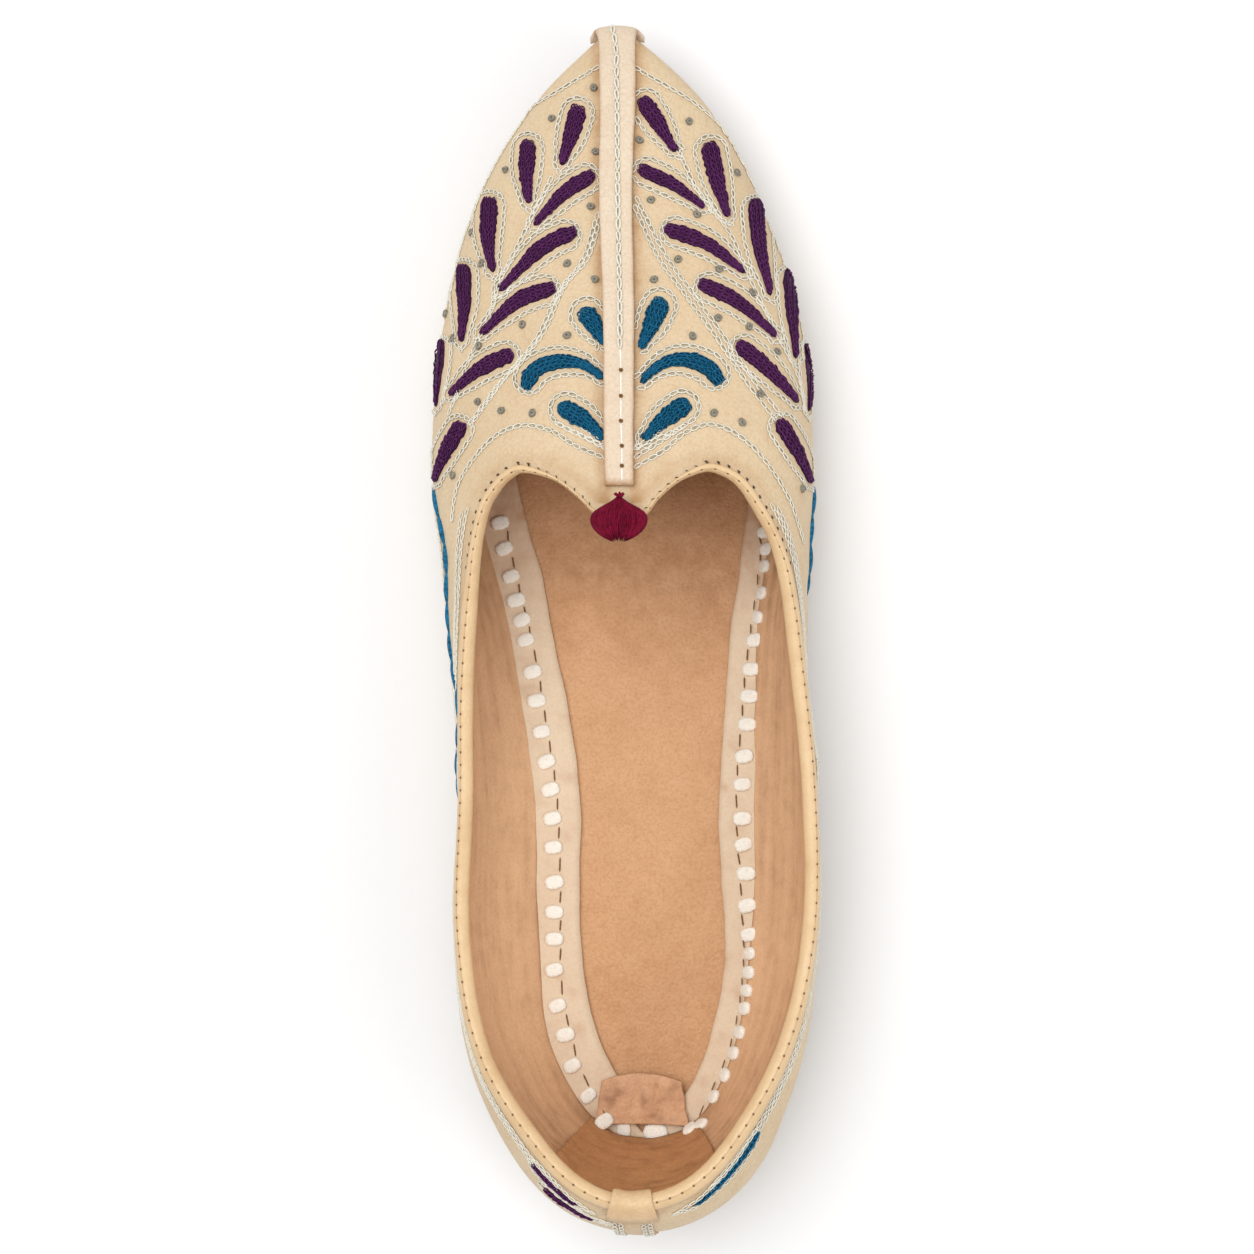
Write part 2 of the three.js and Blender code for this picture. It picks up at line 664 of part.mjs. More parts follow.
function backPatch(name, width, girths, frontInset, backInset, finish, columns) {
  const reach = widthStation(width);
  const rows = steps(-reach, reach, columns).map((station) => steps(0, 1, girths.rows)
    .map((share) => ({ station, share })));
  const at = (inset) => (place) => {
    const girth = girths.from + (girths.to - girths.from) * place.share;
    return surface(RIGHT, place.station, girth, inset);
  };
  return meshOf(name, wallTriangles([{ rows, turned: false }], at(frontInset), at(backInset)), finish);
}

const BACK_EDGE = girthAtHeight(LEFT, 0, BACK_HEIGHT);
const backGirthMm = surface(RIGHT, 0, BACK_EDGE, 0).distanceTo(surface(RIGHT, 0, BACK_EDGE - 0.05, 0)) / 0.05;
const downBack = (millimetres) => BACK_EDGE - millimetres / backGirthMm;

function counterLining() {
  const girths = { from: COUNTER_FOOT, to: downBack(BINDING_LEG + WALL), rows: 4 };
  const inset = WALL + CLEARANCE;
  return backPatch("counter_lining", LINING_WIDTH, girths, inset, inset + LINING_THICKNESS, TAN, 8);
}

function backstay() {
  const girths = { from: BACKSTAY_FOOT, to: downBack(BINDING_LEG + WALL_MIDDLE), rows: 7 };
  return backPatch("backstay", BACKSTAY_WIDTH, girths, -CLEARANCE - BACKSTAY_THICKNESS, -CLEARANCE, IVORY, 4);
}

// Rolled binding round the opening's edge

function edgeFrames() {
  const places = [];
  for (const side of [LEFT, RIGHT]) {
    const run = [...collarRun(side), ...tongueRun(side).slice(1)];
    const half = run.map((place) => ({ side, ...place }));
    if (side === LEFT) places.push(...half);
    else places.push(...half.reverse().slice(1, -1));
  }
  return places;
}

function spotOn(place, inset) {
  return surface(place.side, place.station, place.girth, inset);
}

function surfaceAxes(place) {
  const step = LITTLE;
  const alongStation = surface(place.side, place.station + step, place.girth, WALL_MIDDLE)
    .sub(surface(place.side, place.station - step, place.girth, WALL_MIDDLE)).divideScalar(2 * step);
  const alongGirth = surface(place.side, place.station, place.girth + step, WALL_MIDDLE)
    .sub(surface(place.side, place.station, place.girth - step, WALL_MIDDLE)).divideScalar(2 * step);
  const normal = new THREE.Vector3().crossVectors(alongStation, alongGirth).normalize();
  if (place.side === LEFT) normal.negate();
  return { alongStation, alongGirth, normal };
}

// The place a given distance away from another, in a direction on the surface

function stepAway(place, direction, distance) {
  const { alongStation, alongGirth } = surfaceAxes(place);
  const ss = alongStation.dot(alongStation);
  const sg = alongStation.dot(alongGirth);
  const gg = alongGirth.dot(alongGirth);
  const ds = direction.dot(alongStation) * distance;
  const dg = direction.dot(alongGirth) * distance;
  const size = ss * gg - sg * sg;
  return {
    side: place.side,
    station: place.station + (gg * ds - sg * dg) / size,
    girth: place.girth + (ss * dg - sg * ds) / size,
  };
}

// A strip folded over an edge: its legs lie on both faces, its crown rounds the edge

const BINDING_FOLD = {
  leg: BINDING_LEG,
  gap: CLEARANCE,
  thickness: BINDING_THICKNESS,
  corner: CLEARANCE,
  innerCrown: CLEARANCE,
  outerCrown: CLEARANCE + 1.5 * BINDING_THICKNESS,
};

const WRAP_FOLD = {
  leg: WRAP_LEG,
  gap: 2 * CLEARANCE + BINDING_THICKNESS,
  thickness: WRAP_THICKNESS,
  corner: CLEARANCE + 0.9 * BINDING_THICKNESS,
  innerCrown: 2.5 * CLEARANCE + 1.5 * BINDING_THICKNESS,
  outerCrown: 2.5 * CLEARANCE + 1.5 * BINDING_THICKNESS + WRAP_THICKNESS,
};

function foldRing(place, tangent, fold) {
  const { normal } = surfaceAxes(place);
  const into = new THREE.Vector3().crossVectors(normal, tangent).normalize();
  const foot = stepAway(place, into, fold.leg);
  const middle = spotOn(place, WALL_MIDDLE);
  const at = (out, beyond) => middle.clone().addScaledVector(normal, out).addScaledVector(into, -beyond);
  const near = WALL_MIDDLE + fold.gap;
  const far = near + fold.thickness;
  const shoulder = fold.corner + fold.thickness;
  return [
    spotOn(foot, -fold.gap - fold.thickness),
    at(far, 0),
    at(far * 0.75, shoulder),
    at(0, fold.outerCrown),
    at(-far * 0.75, shoulder),
    at(-far, 0),
    spotOn(foot, WALL + fold.gap + fold.thickness),
    spotOn(foot, WALL + fold.gap),
    at(-near, fold.corner),
    at(0, fold.innerCrown),
    at(near, fold.corner),
    spotOn(foot, -fold.gap),
  ];
}

function collarBinding() {
  const places = edgeFrames();
  const rings = places.map((place, index) => {
    const before = places[(index + places.length - 1) % places.length];
    const after = places[(index + 1) % places.length];
    const tangent = spotOn(after, WALL_MIDDLE).sub(spotOn(before, WALL_MIDDLE)).normalize();
    return foldRing(place, tangent, BINDING_FOLD);
  });
  return meshOf("collar_binding", sweptTriangles(rings, true), PALE_RIM);
}

// Short tab folded over the rim at the back centre

function heelWrap() {
  const reach = widthStation(WRAP_WIDTH);
  const knots = collarRun(RIGHT);
  const edgeAt = (station) => {
    const run = knots.findIndex((knot) => knot.station >= Math.abs(station));
    const from = knots[Math.max(run - 1, 0)];
    const to = knots[Math.max(run, 1)];
    const share = (Math.abs(station) - from.station) / (to.station - from.station);
    return { side: RIGHT, station, girth: from.girth + (to.girth - from.girth) * share };
  };
  const rings = steps(reach, -reach, 6).map((station) => {
    const before = spotOn(edgeAt(station + LITTLE), WALL_MIDDLE);
    const after = spotOn(edgeAt(station - LITTLE), WALL_MIDDLE);
    return foldRing(edgeAt(station), after.sub(before).normalize(), WRAP_FOLD);
  });
  const triangles = sweptTriangles(rings, false);
  triangles.push(...capTriangles(rings[0], true), ...capTriangles(rings.at(-1), false));
  return meshOf("heel_wrap", triangles, PALE_RIM);
}

// Strap along the ridge, over the toe's tip and down to the sole

function strapRing(place, way) {
  const width = follow(STRAP_WIDTHS, "way", "end", way) * STRAP_END_WIDTH
    + follow(STRAP_WIDTHS, "way", "toe", way) * STRAP_TOE_WIDTH
    + follow(STRAP_WIDTHS, "way", "foot", way) * STRAP_FOOT_WIDTH;
  const under = spotOn(place, -CLEARANCE);
  const over = spotOn(place, -CLEARANCE - STRAP_THICKNESS);
  const out = over.clone().sub(under).normalize();
  const at = (base, share, lower) => base.clone()
    .add(new THREE.Vector3(share * width / 2, 0, 0)).addScaledVector(out, -lower);
  const breadth = outline(RIGHT, place.station).x - outline(LEFT, place.station).x;
  const radius = breadth / 2 + STRAP_THICKNESS;
  const sag = Math.min(STRAP_DROP, (width / 2) ** 2 / (2.4 * radius));
  return [
    at(under, -1, sag), at(under, 0, 0), at(under, 1, sag),
    at(over, 1, sag), at(over, 0.5, sag * 0.3), at(over, -0.5, sag * 0.3), at(over, -1, sag),
  ];
}

function toeStrap() {
  const ridgePlaces = steps(stationOf(STRAP_START), 1, 26)
    .map((station) => ({ side: LEFT, station, girth: 1 }));
  const nosePlaces = steps(LOW_SHARE, 0, 3).map((girth) => ({ side: LEFT, station: 1, girth }));
  const places = [...ridgePlaces.slice(0, -1), ...nosePlaces];
  const rings = places.map((place, index) => strapRing(place, index / (places.length - 1)));
  const triangles = sweptTriangles(rings, false);
  triangles.push(...capTriangles(rings[0], true), ...capTriangles(rings.at(-1), false));
  return meshOf("toe_strap", triangles, PEACH);
}

// Tassel: a bound knot on the tongue, with locks fanned back over the opening's edge

const wasm = await Module();
wasm.setup();

function toSolid(geometry) {
  geometry.deleteAttribute("normal");
  geometry.deleteAttribute("uv");
  const merged = mergeVertices(geometry, SMALL);
  return new wasm.Manifold(new wasm.Mesh({
    numProp: 3,
    vertProperties: new Float32Array(merged.attributes.position.array),
    triVerts: new Uint32Array(merged.index.array),
  }));
}

function fromSolid(name, solid, finish) {
  const result = solid.getMesh();
  const geometry = new THREE.BufferGeometry();
  geometry.setAttribute("position", new THREE.Float32BufferAttribute(result.vertProperties, 3));
  geometry.setIndex(new THREE.Uint32BufferAttribute(result.triVerts, 1));
  const mesh = new THREE.Mesh(geometry, new THREE.MeshStandardMaterial(finish));
  mesh.name = name;
  return mesh;
}

function lockGeometry(angle, length) {
  const rings = steps(0, 1, 4).map((way) => {
    const radius = LOCK_RADIUS * (way < 0.7 ? 0.7 + 0.6 * way : 1.12 - 0.9 * (way - 0.7));
    const out = way * length;
    const high = 0.3 * KNOT_RADIUS * (1 - way * way);
    const centre = new THREE.Vector3(out * Math.sin(angle), -out * Math.cos(angle), high);
    return Array.from({ length: 6 }, (_, k) => centre.clone().add(new THREE.Vector3(
      radius * Math.cos(k * Math.PI / 3) * Math.cos(angle),
      radius * Math.cos(k * Math.PI / 3) * Math.sin(angle),
      radius * Math.sin(k * Math.PI / 3),
    )));
  });
  const triangles = sweptTriangles(rings, false);
  triangles.push(...capTriangles(rings[0], true), ...capTriangles(rings.at(-1), false));
  return meshOf("lock", triangles, CRIMSON).geometry;
}

function tassel() {
  let body = toSolid(new THREE.SphereGeometry(KNOT_RADIUS, 12, 8));
  for (const share of steps(-1, 1, LOCK_COUNT - 1)) {
    const angle = Math.asin(share * TASSEL_SPREAD / TASSEL_LENGTH);
    const length = TASSEL_LENGTH * (1 - LOCK_SHORTENING * share * share) - KNOT_RADIUS;
    body = body.add(toSolid(lockGeometry(angle, length)));
  }
  const mesh = fromSolid("tassel", body, CRIMSON);
  const seat = ridge(stationOf(KNOT_ALONG), 0);
  const tip = ridge(stationOf(TONGUE_SIDE.at(-1).along), 0);
  mesh.rotation.x = Math.atan2(seat.z - tip.z, seat.y - tip.y);
  mesh.position.set(seat.x, seat.y, seat.z + CLEARANCE + KNOT_RADIUS);
  return mesh;
}

// The shoe

const mojari = new THREE.Group();
mojari.name = "mojari";
mojari.add(
  outsole(), heelLift(), insole(), upper(), innerBand(), heelPad(), counterLining(),
  collarBinding(), heelWrap(), backstay(), toeStrap(), tassel(),
);

export default mojari;
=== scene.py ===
"""A left embroidered leather mojari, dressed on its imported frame."""

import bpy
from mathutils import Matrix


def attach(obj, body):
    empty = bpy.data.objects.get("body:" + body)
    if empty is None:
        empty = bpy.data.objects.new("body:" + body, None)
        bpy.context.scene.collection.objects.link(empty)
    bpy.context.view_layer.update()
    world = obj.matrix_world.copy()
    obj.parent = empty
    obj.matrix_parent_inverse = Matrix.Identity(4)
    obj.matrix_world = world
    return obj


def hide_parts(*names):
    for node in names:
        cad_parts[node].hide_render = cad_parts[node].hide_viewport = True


bl_info = {
    "name": "Embroidered mojari",
    "version": (1, 0, 0),
    "blender": (4, 5, 0),
    "location": "3D View > Sidebar > Mojari",
    "description": "Builds a left embroidered leather mojari on its packed frame",
    "category": "Object",
}

import math
import random
from functools import lru_cache

import bmesh
import bpy
from mathutils import Matrix, Vector, noise
from mathutils.bvhtree import BVHTree

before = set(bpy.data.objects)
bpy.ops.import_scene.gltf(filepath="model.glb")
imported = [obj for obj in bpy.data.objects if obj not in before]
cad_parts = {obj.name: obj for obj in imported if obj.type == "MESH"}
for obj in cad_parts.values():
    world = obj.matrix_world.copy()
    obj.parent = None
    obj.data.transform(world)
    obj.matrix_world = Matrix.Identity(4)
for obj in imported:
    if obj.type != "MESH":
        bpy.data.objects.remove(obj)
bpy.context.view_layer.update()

# Sizes of the last, the same as the frame's, in millimetres

SHOE_LENGTH = 278
BALL_WIDTH = 90
HEEL_WIDTH = 84
INSTEP_HEIGHT = 48
BACK_HEIGHT = 50
SIDE_HEIGHT = 38
WALL = 2
SIDE_TUCK = 12
SIDE_BULGE = 18
TOE_SWING = 5.4
RIDGE_SHIFT = 2
SOLE_THICKNESS = 4
SOLE_MARGIN = 1.5
HEEL_HEIGHT = 5
HEEL_LENGTH = 66
ARCH_RISE = 1.2
TOE_SPRING = 14
INSOLE_THICKNESS = 1.5
BAND_WIDTH = 12
BAND_THICKNESS = 1.1
BAND_LAP = 3
PAD_WIDTH = 22
PAD_LENGTH = 12
PAD_THICKNESS = 1
PAD_BACK = 22
LINING_THICKNESS = 0.8
BINDING_LEG = 3
WRAP_WIDTH = 13.5
WRAP_LEG = 5.5
WRAP_THICKNESS = 0.8
BACKSTAY_WIDTH = 10
STRAP_THICKNESS = 1.6
STRAP_END_WIDTH = 6.4
STRAP_TOE_WIDTH = 10
STRAP_FOOT_WIDTH = 12.6
STRAP_FROM = 0.6
NOSE_WAY = 0.9
KNOT_RADIUS = 2.4
CLEARANCE = 0.3

SEAT_END = 0.25
ARCH_TOP = 0.38
BALL_START = 0.56
SPRING_START = 0.74
STATIONS = 12
LOW_SHARE = 0.3
LOW_POWER = 1.8
HEEL_CENTRE = HEEL_WIDTH / 2
FAN_BLEND = 20
GIRTH_MM = 95
SMALL = 1e-4
LEFT = -1
RIGHT = 1
AHEAD = Vector((0, 1, 0))
MM = 0.001
MERGE = 0.002
SILK_MERGE = 0.0008
THREAD_MERGE = 0.0005
THREAD_SHIFT = 9

# Sections from the heel's back to the toe's tip
# Each row: station, heel, ball, swing, tuck, bulge, ridge, left and right fullness
HEEL, BALL, SWING, TUCK, BULGE, RIDGE, LEFT_FULL, RIGHT_FULL = range(1, 9)
SECTIONS = (
    (0, 0, 0, 0, 1.04, 0.9, 1.05, 2.2, 2.2),
    (1, 0.405, 0, -0.1, 1.02, 0.92, 1.04, 2.2, 2.2),
    (2, 0.712, 0, -0.06, 0.95, 0.96, 1.02, 2.2, 2.2),
    (3, 0.924, 0, 0.08, 0.92, 1, 1, 2.3, 2.3),
    (4, 1.005, 0, 0, 0.97, 1, 0.98, 2.4, 2.5),
    (5, 0.6, 0.362, -0.02, 0.96, 0.98, 1.04, 2.3, 2.7),
    (6, 0.2, 0.746, 0.5, 0.73, 0.87, 1.07, 2.05, 2.8),
    (7, 0, 0.996, 0.78, 0.55, 0.69, 0.99, 2, 2.6),
    (8, 0, 0.948, 0.85, 0.58, 0.61, 0.81, 2, 2.4),
    (9, 0, 0.761, 1, 0.5, 0.52, 0.59, 2, 2.2),
    (10, 0, 0.493, 0.91, 0.29, 0.38, 0.37, 2, 2.1),
    (11, 0, 0.19, 0.92, 0.11, 0.27, 0.19, 2, 2),
    (12, 0, 0, 1, 0.08, 0.2, 0.075, 2, 2),
)

# The collar from the back centre forward: way along, shares of the back height and the side height
COLLAR = (
    (0, 1, 0),
    (0.035, 0.8, 0.26),
    (0.1, 0.45, 0.67),
    (0.2, 0.16, 0.88),
    (0.3, 0, 1.01),
    (0.4, 0, 1.01),
)

# Each lobe's outer side and inner side: way along, reach from the ridge on the left and on the right
LOBE_SIDE = (
    (0.485, 0.875, 0.95),
    (0.539, 0.805, 0.895),
    (0.572, 0.752, 0.82),
    (0.599, 0.69, 0.718),
    (0.614, 0.626, 0.65),
    (0.623, 0.57, 0.585),
    (0.629, 0.495, 0.47),
)
TONGUE_SIDE = (
    (0.629, 0.495, 0.47),
    (0.6245, 0.37, 0.37),
    (0.617, 0.28, 0.285),
    (0.6055, 0.197, 0.2),
    (0.594, 0.128, 0.138),
    (0.583, 0, 0),
)

# The strap's half widths: way along, throat end, toe and foot
STRAP_WIDTHS = (
    (0, 1, 0, 0),
    (0.55, 0.5, 0.5, 0),
    (0.9, 0, 1, 0),
    (1, 0, 0, 1),
)

# Widths inside the shoe by station, left and right: the band in shares of its width,
# and how far the loose lining's foot stands in from the wall, in mm
BAND_WIDTHS = (
    (0, 0.48, 0.48),
    (0.1, 1.08, 0.75),
    (0.2, 1.25, 0.77),
    (0.25, 1.28, 0.76),
    (0.3, 1.21, 0.73),
    (0.38, 1.13, 0.87),
    (0.48, 1, 0.7),
    (0.53, 0.97, 0.6),
    (0.58, 0.84, 0.6),
    (0.68, 0.7, 0.6),
)
LINING_FEET = (
    (0, 4.6, 4.6),
    (0.16, 4.1, 3.6),
    (0.3, 4.6, 3.2),
    (0.37, 3.8, 2.6),
    (0.42, 2.6, 2.2),
    (0.5, 2.3, 2),
    (0.55, 1.3, 1.4),
    (0.62, 0.8, 0.8),
)

# Creases, placed one by one: side, way along in mm, girth, length, width and depth in mm, lean in degrees
# A negative depth is a ridge
CREASES = (
    (LEFT, 176, 0.86, 30, 5, 0.5, 64),
    (LEFT, 184, 0.8, 26, 4, -0.35, 62),
    (RIGHT, 178, 0.84, 32, 5, 0.5, 118),
    (RIGHT, 187, 0.8, 26, 4, -0.35, 116),
    (LEFT, 203, 0.7, 22, 4, 0.35, 58),
    (RIGHT, 206, 0.7, 22, 4, 0.35, 122),
    (LEFT, 92, 0.3, 22, 5, 0.7, 78),
    (LEFT, 103, 0.28, 18, 4, -0.4, 80),
    (LEFT, 118, 0.26, 24, 5, 0.6, 96),
    (LEFT, 141, 0.24, 20, 4, 0.5, 104),
    (RIGHT, 96, 0.3, 22, 5, 0.7, 100),
    (RIGHT, 108, 0.28, 18, 4, -0.4, 96),
    (RIGHT, 124, 0.26, 24, 5, 0.6, 82),
    (RIGHT, 146, 0.24, 20, 4, 0.5, 76),
    (LEFT, 28, 0.26, 20, 5, 0.5, 60),
    (RIGHT, 30, 0.26, 20, 5, 0.5, 118),
    (LEFT, 9, 0.2, 16, 4, 0.45, 100),
    (RIGHT, 10, 0.22, 16, 4, 0.45, 80),
)


def follow(table, column, at):
    """Smooth reading of a table between its rows."""
    last = len(table) - 1
    if at <= table[0][0]:
        return table[0][column]
    if at >= table[last][0]:
        return table[last][column]
    row = 0
    while at > table[row + 1][0]:
        row += 1

    def slope(index):
        here = table[index]
        before = table[max(index - 1, 0)]
        after = table[min(index + 1, last)]
        if index == 0:
            return (after[column] - here[column]) / (after[0] - here[0])
        if index == last:
            return (here[column] - before[column]) / (here[0] - before[0])
        back = here[0] - before[0]
        ahead = after[0] - here[0]
        fall = (here[column] - before[column]) / back
        rise = (after[column] - here[column]) / ahead
        return (fall * ahead + rise * back) / (back + ahead)

    span = table[row + 1][0] - table[row][0]
    share = (at - table[row][0]) / span
    start = table[row][column]
    end = table[row + 1][column]
    return hermite(share, start, end, span * slope(row), span * slope(row + 1))


def hermite(share, start, end, leave, reach):
    """Cubic between two values with the given slopes at its ends."""
    square = share * share
    cube = square * share
    return (
        (2 * cube - 3 * square + 1) * start
        + (cube - 2 * square + share) * leave
        + (3 * square - 2 * cube) * end
        + (cube - square) * reach
    )


@lru_cache(maxsize=None)
def section(station, column):
    return follow(SECTIONS, column, station * STATIONS)


def ease(at, start, end):
    share = min(max((at - start) / (end - start), 0), 1)
    return share * share * (3 - 2 * share)


def along_of(station):
    return (1 - math.cos(math.pi * station)) / 2


def station_of(along):
    return math.acos(1 - 2 * along) / math.pi


def way_at(y):
    """The share of the shoe's length that lies behind y."""
    return min(max((y - BACK_Y) / SHOE_LENGTH, 0), 1)


def column_of(side):
    """The column of a side in tables with one for the left and one for the right."""
    return 1 if side == LEFT else 2


def fullness_of(side, station):
    return section(station, LEFT_FULL if side == LEFT else RIGHT_FULL)


BACK_Y = -(SIDE_TUCK * SECTIONS[0][TUCK] - SOLE_MARGIN + HEEL_LENGTH) / 2


def underside_at(y):
    along = way_at(y)
    heel = 1 - ease(along, SEAT_END, BALL_START)
    arch = ease(along, SEAT_END, ARCH_TOP) - ease(along, ARCH_TOP, BALL_START)
    spring = max(0, (along - SPRING_START) / (1 - SPRING_START)) ** 2
    return heel * (HEEL_HEIGHT + CLEARANCE) + arch * ARCH_RISE + spring * TOE_SPRING


def sole_top_at(y):
    return underside_at(y) + SOLE_THICKNESS


def seat_at(y):
    return sole_top_at(y) + CLEARANCE


def outline(side, station):
    """The widest line seen from above, as x and y."""
    half = section(station, HEEL) * HEEL_WIDTH / 2 + section(station, BALL) * BALL_WIDTH / 2
    x = -section(station, SWING) * TOE_SWING + side * half
    return Vector((x, BACK_Y + SHOE_LENGTH * along_of(station)))


@lru_cache(maxsize=None)
def inward(side, station):
    if station < SMALL:
        return Vector((0, 1))
    if station > 1 - SMALL:
        return Vector((0, -1))
    run = (outline(side, station + SMALL / 2) - outline(side, station - SMALL / 2)).normalized()
    return Vector((run.y, -run.x)) if side == LEFT else Vector((-run.y, run.x))


def widest_at(station):
    return seat_at(outline(LEFT, station).y) + section(station, BULGE) * SIDE_BULGE


def ridge_height(station):
    y = BACK_Y + SHOE_LENGTH * along_of(station)
    return seat_at(y) + section(station, RIDGE) * INSTEP_HEIGHT


def ridge(station, inset):
    """The last's top line, with the back part gathered into a fan."""
    x = -section(station, SWING) * TOE_SWING + RIDGE_SHIFT * math.sin(math.pi * station) ** 2
    along = along_of(station) * SHOE_LENGTH
    blend = max(0, FAN_BLEND - abs(along - HEEL_CENTRE))
    reach = max(along, HEEL_CENTRE) + blend**2 / (4 * FAN_BLEND)
    height = ridge_height(station)
    if station < 0.5:
        return Vector((x, BACK_Y + reach, height - inset))
    ahead = min(station + SMALL, 1)
    rise = ridge_height(ahead) - ridge_height(ahead - 2 * SMALL)
    run = SHOE_LENGTH * (along_of(ahead) - along_of(ahead - 2 * SMALL))
    size = math.hypot(rise, run)
    nose = station > 1 - SMALL
    back = -1 if nose else rise / size
    down = 0 if nose else run / size
    return Vector((x, BACK_Y + reach + inset * back, height - inset * down))


def surface(side, station, girth, inset=0):
    """A point of the last: girth runs from the wall's foot, 0, to the ridge, 1."""
    if station < 0:
        return surface(-side, -station, girth, inset)
    if girth > 1:
        return surface(-side, station, 2 - girth, inset)
    normal = inward(side, station)
    edge = outline(side, station)
    widest = widest_at(station)
    if girth <= LOW_SHARE:
        fall = 1 - girth / LOW_SHARE
        tuck = section(station, TUCK) * SIDE_TUCK
        deep = section(station, BULGE) * SIDE_BULGE
        slope = LOW_POWER * tuck * fall ** (LOW_POWER - 1) / deep
        spot = edge + normal * (tuck * fall**LOW_POWER + inset * math.hypot(1, slope))
        return Vector((spot.x, spot.y, widest + (seat_at(spot.y) - widest) * fall))
    angle = (girth - LOW_SHARE) / (1 - LOW_SHARE) * math.pi / 2
    fullness = fullness_of(side, station)
    top = ridge(station, inset)
    out = 0 if girth == 1 else max(math.cos(angle), 0) ** (2 / fullness)
    up = math.sin(angle) ** (2 / fullness)
    edge = edge + normal * inset
    return Vector((
        top.x + (edge.x - top.x) * out,
        top.y + (edge.y - top.y) * out,
        widest + (top.z - widest) * up,
    ))


def girth_at_height(side, station, height):
    widest = widest_at(station)
    fullness = fullness_of(side, station)
    up = max((height - widest) / (ridge_height(station) - widest), 0.02)
    return LOW_SHARE + (1 - LOW_SHARE) * math.asin(up ** (fullness / 2)) / (math.pi / 2)


def girth_at_reach(side, station, reach):
    fullness = fullness_of(side, station)
    return LOW_SHARE + (1 - LOW_SHARE) * math.acos(reach ** (fullness / 2)) / (math.pi / 2)


def smooth_run(knots, before, after, pieces):
    """A smooth line through knots of any number of values, with each gap cut into pieces."""
    every = [before, *knots, after]
    run = []
    for row in range(1, len(every) - 2):
        for piece in range(pieces):
            share = piece / pieces
            run.append(tuple(
                hermite(share, start, end, (end - last) / 2, (beyond - start) / 2)
                for last, start, end, beyond in zip(*every[row - 1:row + 3])
            ))
    run.append(tuple(knots[-1]))
    return run


def collar_run(side, pieces=10):
    """The opening's edge from the back centre to the lobe's front, as stations and girths."""
    knots = []
    for along, back, high in COLLAR:
        station = station_of(along)
        knots.append((station, girth_at_height(side, station, back * BACK_HEIGHT + high * SIDE_HEIGHT)))
    for row in LOBE_SIDE:
        station = station_of(row[0])
        knots.append((station, girth_at_reach(side, station, row[column_of(side)])))
    before = (-knots[1][0], knots[1][1])
    after = (knots[-2][0], 2 * knots[-1][1] - knots[-2][1])
    return smooth_run(knots, before, after, pieces)


def tongue_run(side, pieces=8):
    """The opening's edge from the lobe's front back to the tongue's tip."""
    knots = []
    for row in TONGUE_SIDE:
        station = station_of(row[0])
        knots.append((station, girth_at_reach(side, station, row[column_of(side)])))
    before = (knots[1][0], 2 * knots[0][1] - knots[1][1])
    after = (knots[-2][0], 2 * knots[-1][1] - knots[-2][1])
    return smooth_run(knots, before, after, pieces)


def foot_line(side, station, inset):
    """A line inside the wall's foot, as x and y."""
    return outline(side, station) + inward(side, station) * (section(station, TUCK) * SIDE_TUCK + inset)


def steps(start, end, count):
    return [start + (end - start) * index / count for index in range(count + 1)]


def relief(side, station, girth):
    """How far creases lift the leather, in mm; troughs are negative."""
    way = along_of(abs(station)) * SHOE_LENGTH
    if station < 0:
        side = -side
    base = surface(side, station, girth)
    lift = 0
    for at_side, at_way, at_girth, length, width, depth, lean in CREASES:
        if at_side != side:
            continue
        ahead = way - at_way
        above = (girth - at_girth) * GIRTH_MM
        cos = math.cos(math.radians(lean))
        sin = math.sin(math.radians(lean))
        along = (ahead * cos + above * sin) / (length / 2)
        across = (ahead * -sin + above * cos) / width + 0.25 * math.sin(2.4 * along)
        lift -= depth * math.exp(-along**4 - across**2)
    lift *= min(1, way / 8) * min(1, (1 - girth) * 8)
    low = max(0, 1 - girth / 0.2)
    lift += 0.55 * low * noise.noise(base / 5)
    return lift + 0.28 * noise.noise(base / 19)


# Meshes, modelled in millimetres and scaled once at the end

MAP_NAME = "UVMap"


def map_of(bm):
    """The layer that holds a mesh's own map."""
    return bm.loops.layers.uv.get(MAP_NAME) or bm.loops.layers.uv.new(MAP_NAME)


def lay_sheet(bm, columns, rows, place, lengths=None, shift=0.0):
    """A grid shaped by place(u, w), where u and w run from 0 to 1."""
    layer = map_of(bm)
    made = bmesh.ops.create_grid(bm, x_segments=columns, y_segments=rows, size=1)["verts"]
    shares = {vert: ((vert.co.x + 1) / 2, (vert.co.y + 1) / 2) for vert in made}
    width, height = lengths or (1, 1)
    for face in {face for vert in made for face in vert.link_faces}:
        for loop in face.loops:
            u, w = shares[loop.vert]
            loop[layer].uv = (u * width + shift, w * height)
    for vert, (u, w) in shares.items():
        vert.co = place(u, w)


def lay_rings(bm, rings, lengths=None):
    """A skin over rings of points, each ring closed on itself."""
    count = len(rings[0])

    def place(u, w):
        ring = rings[round(u * (len(rings) - 1))]
        return ring[round(w * count) % count]

    lay_sheet(bm, len(rings) - 1, count, place, lengths)


def close_ends(bm):
    """Caps the open ends of a skin."""
    bmesh.ops.remove_doubles(bm, verts=bm.verts[:], dist=MERGE)
    open_edges = [edge for edge in bm.edges if len(edge.link_faces) == 1]
    bmesh.ops.holes_fill(bm, edges=open_edges, sides=0)


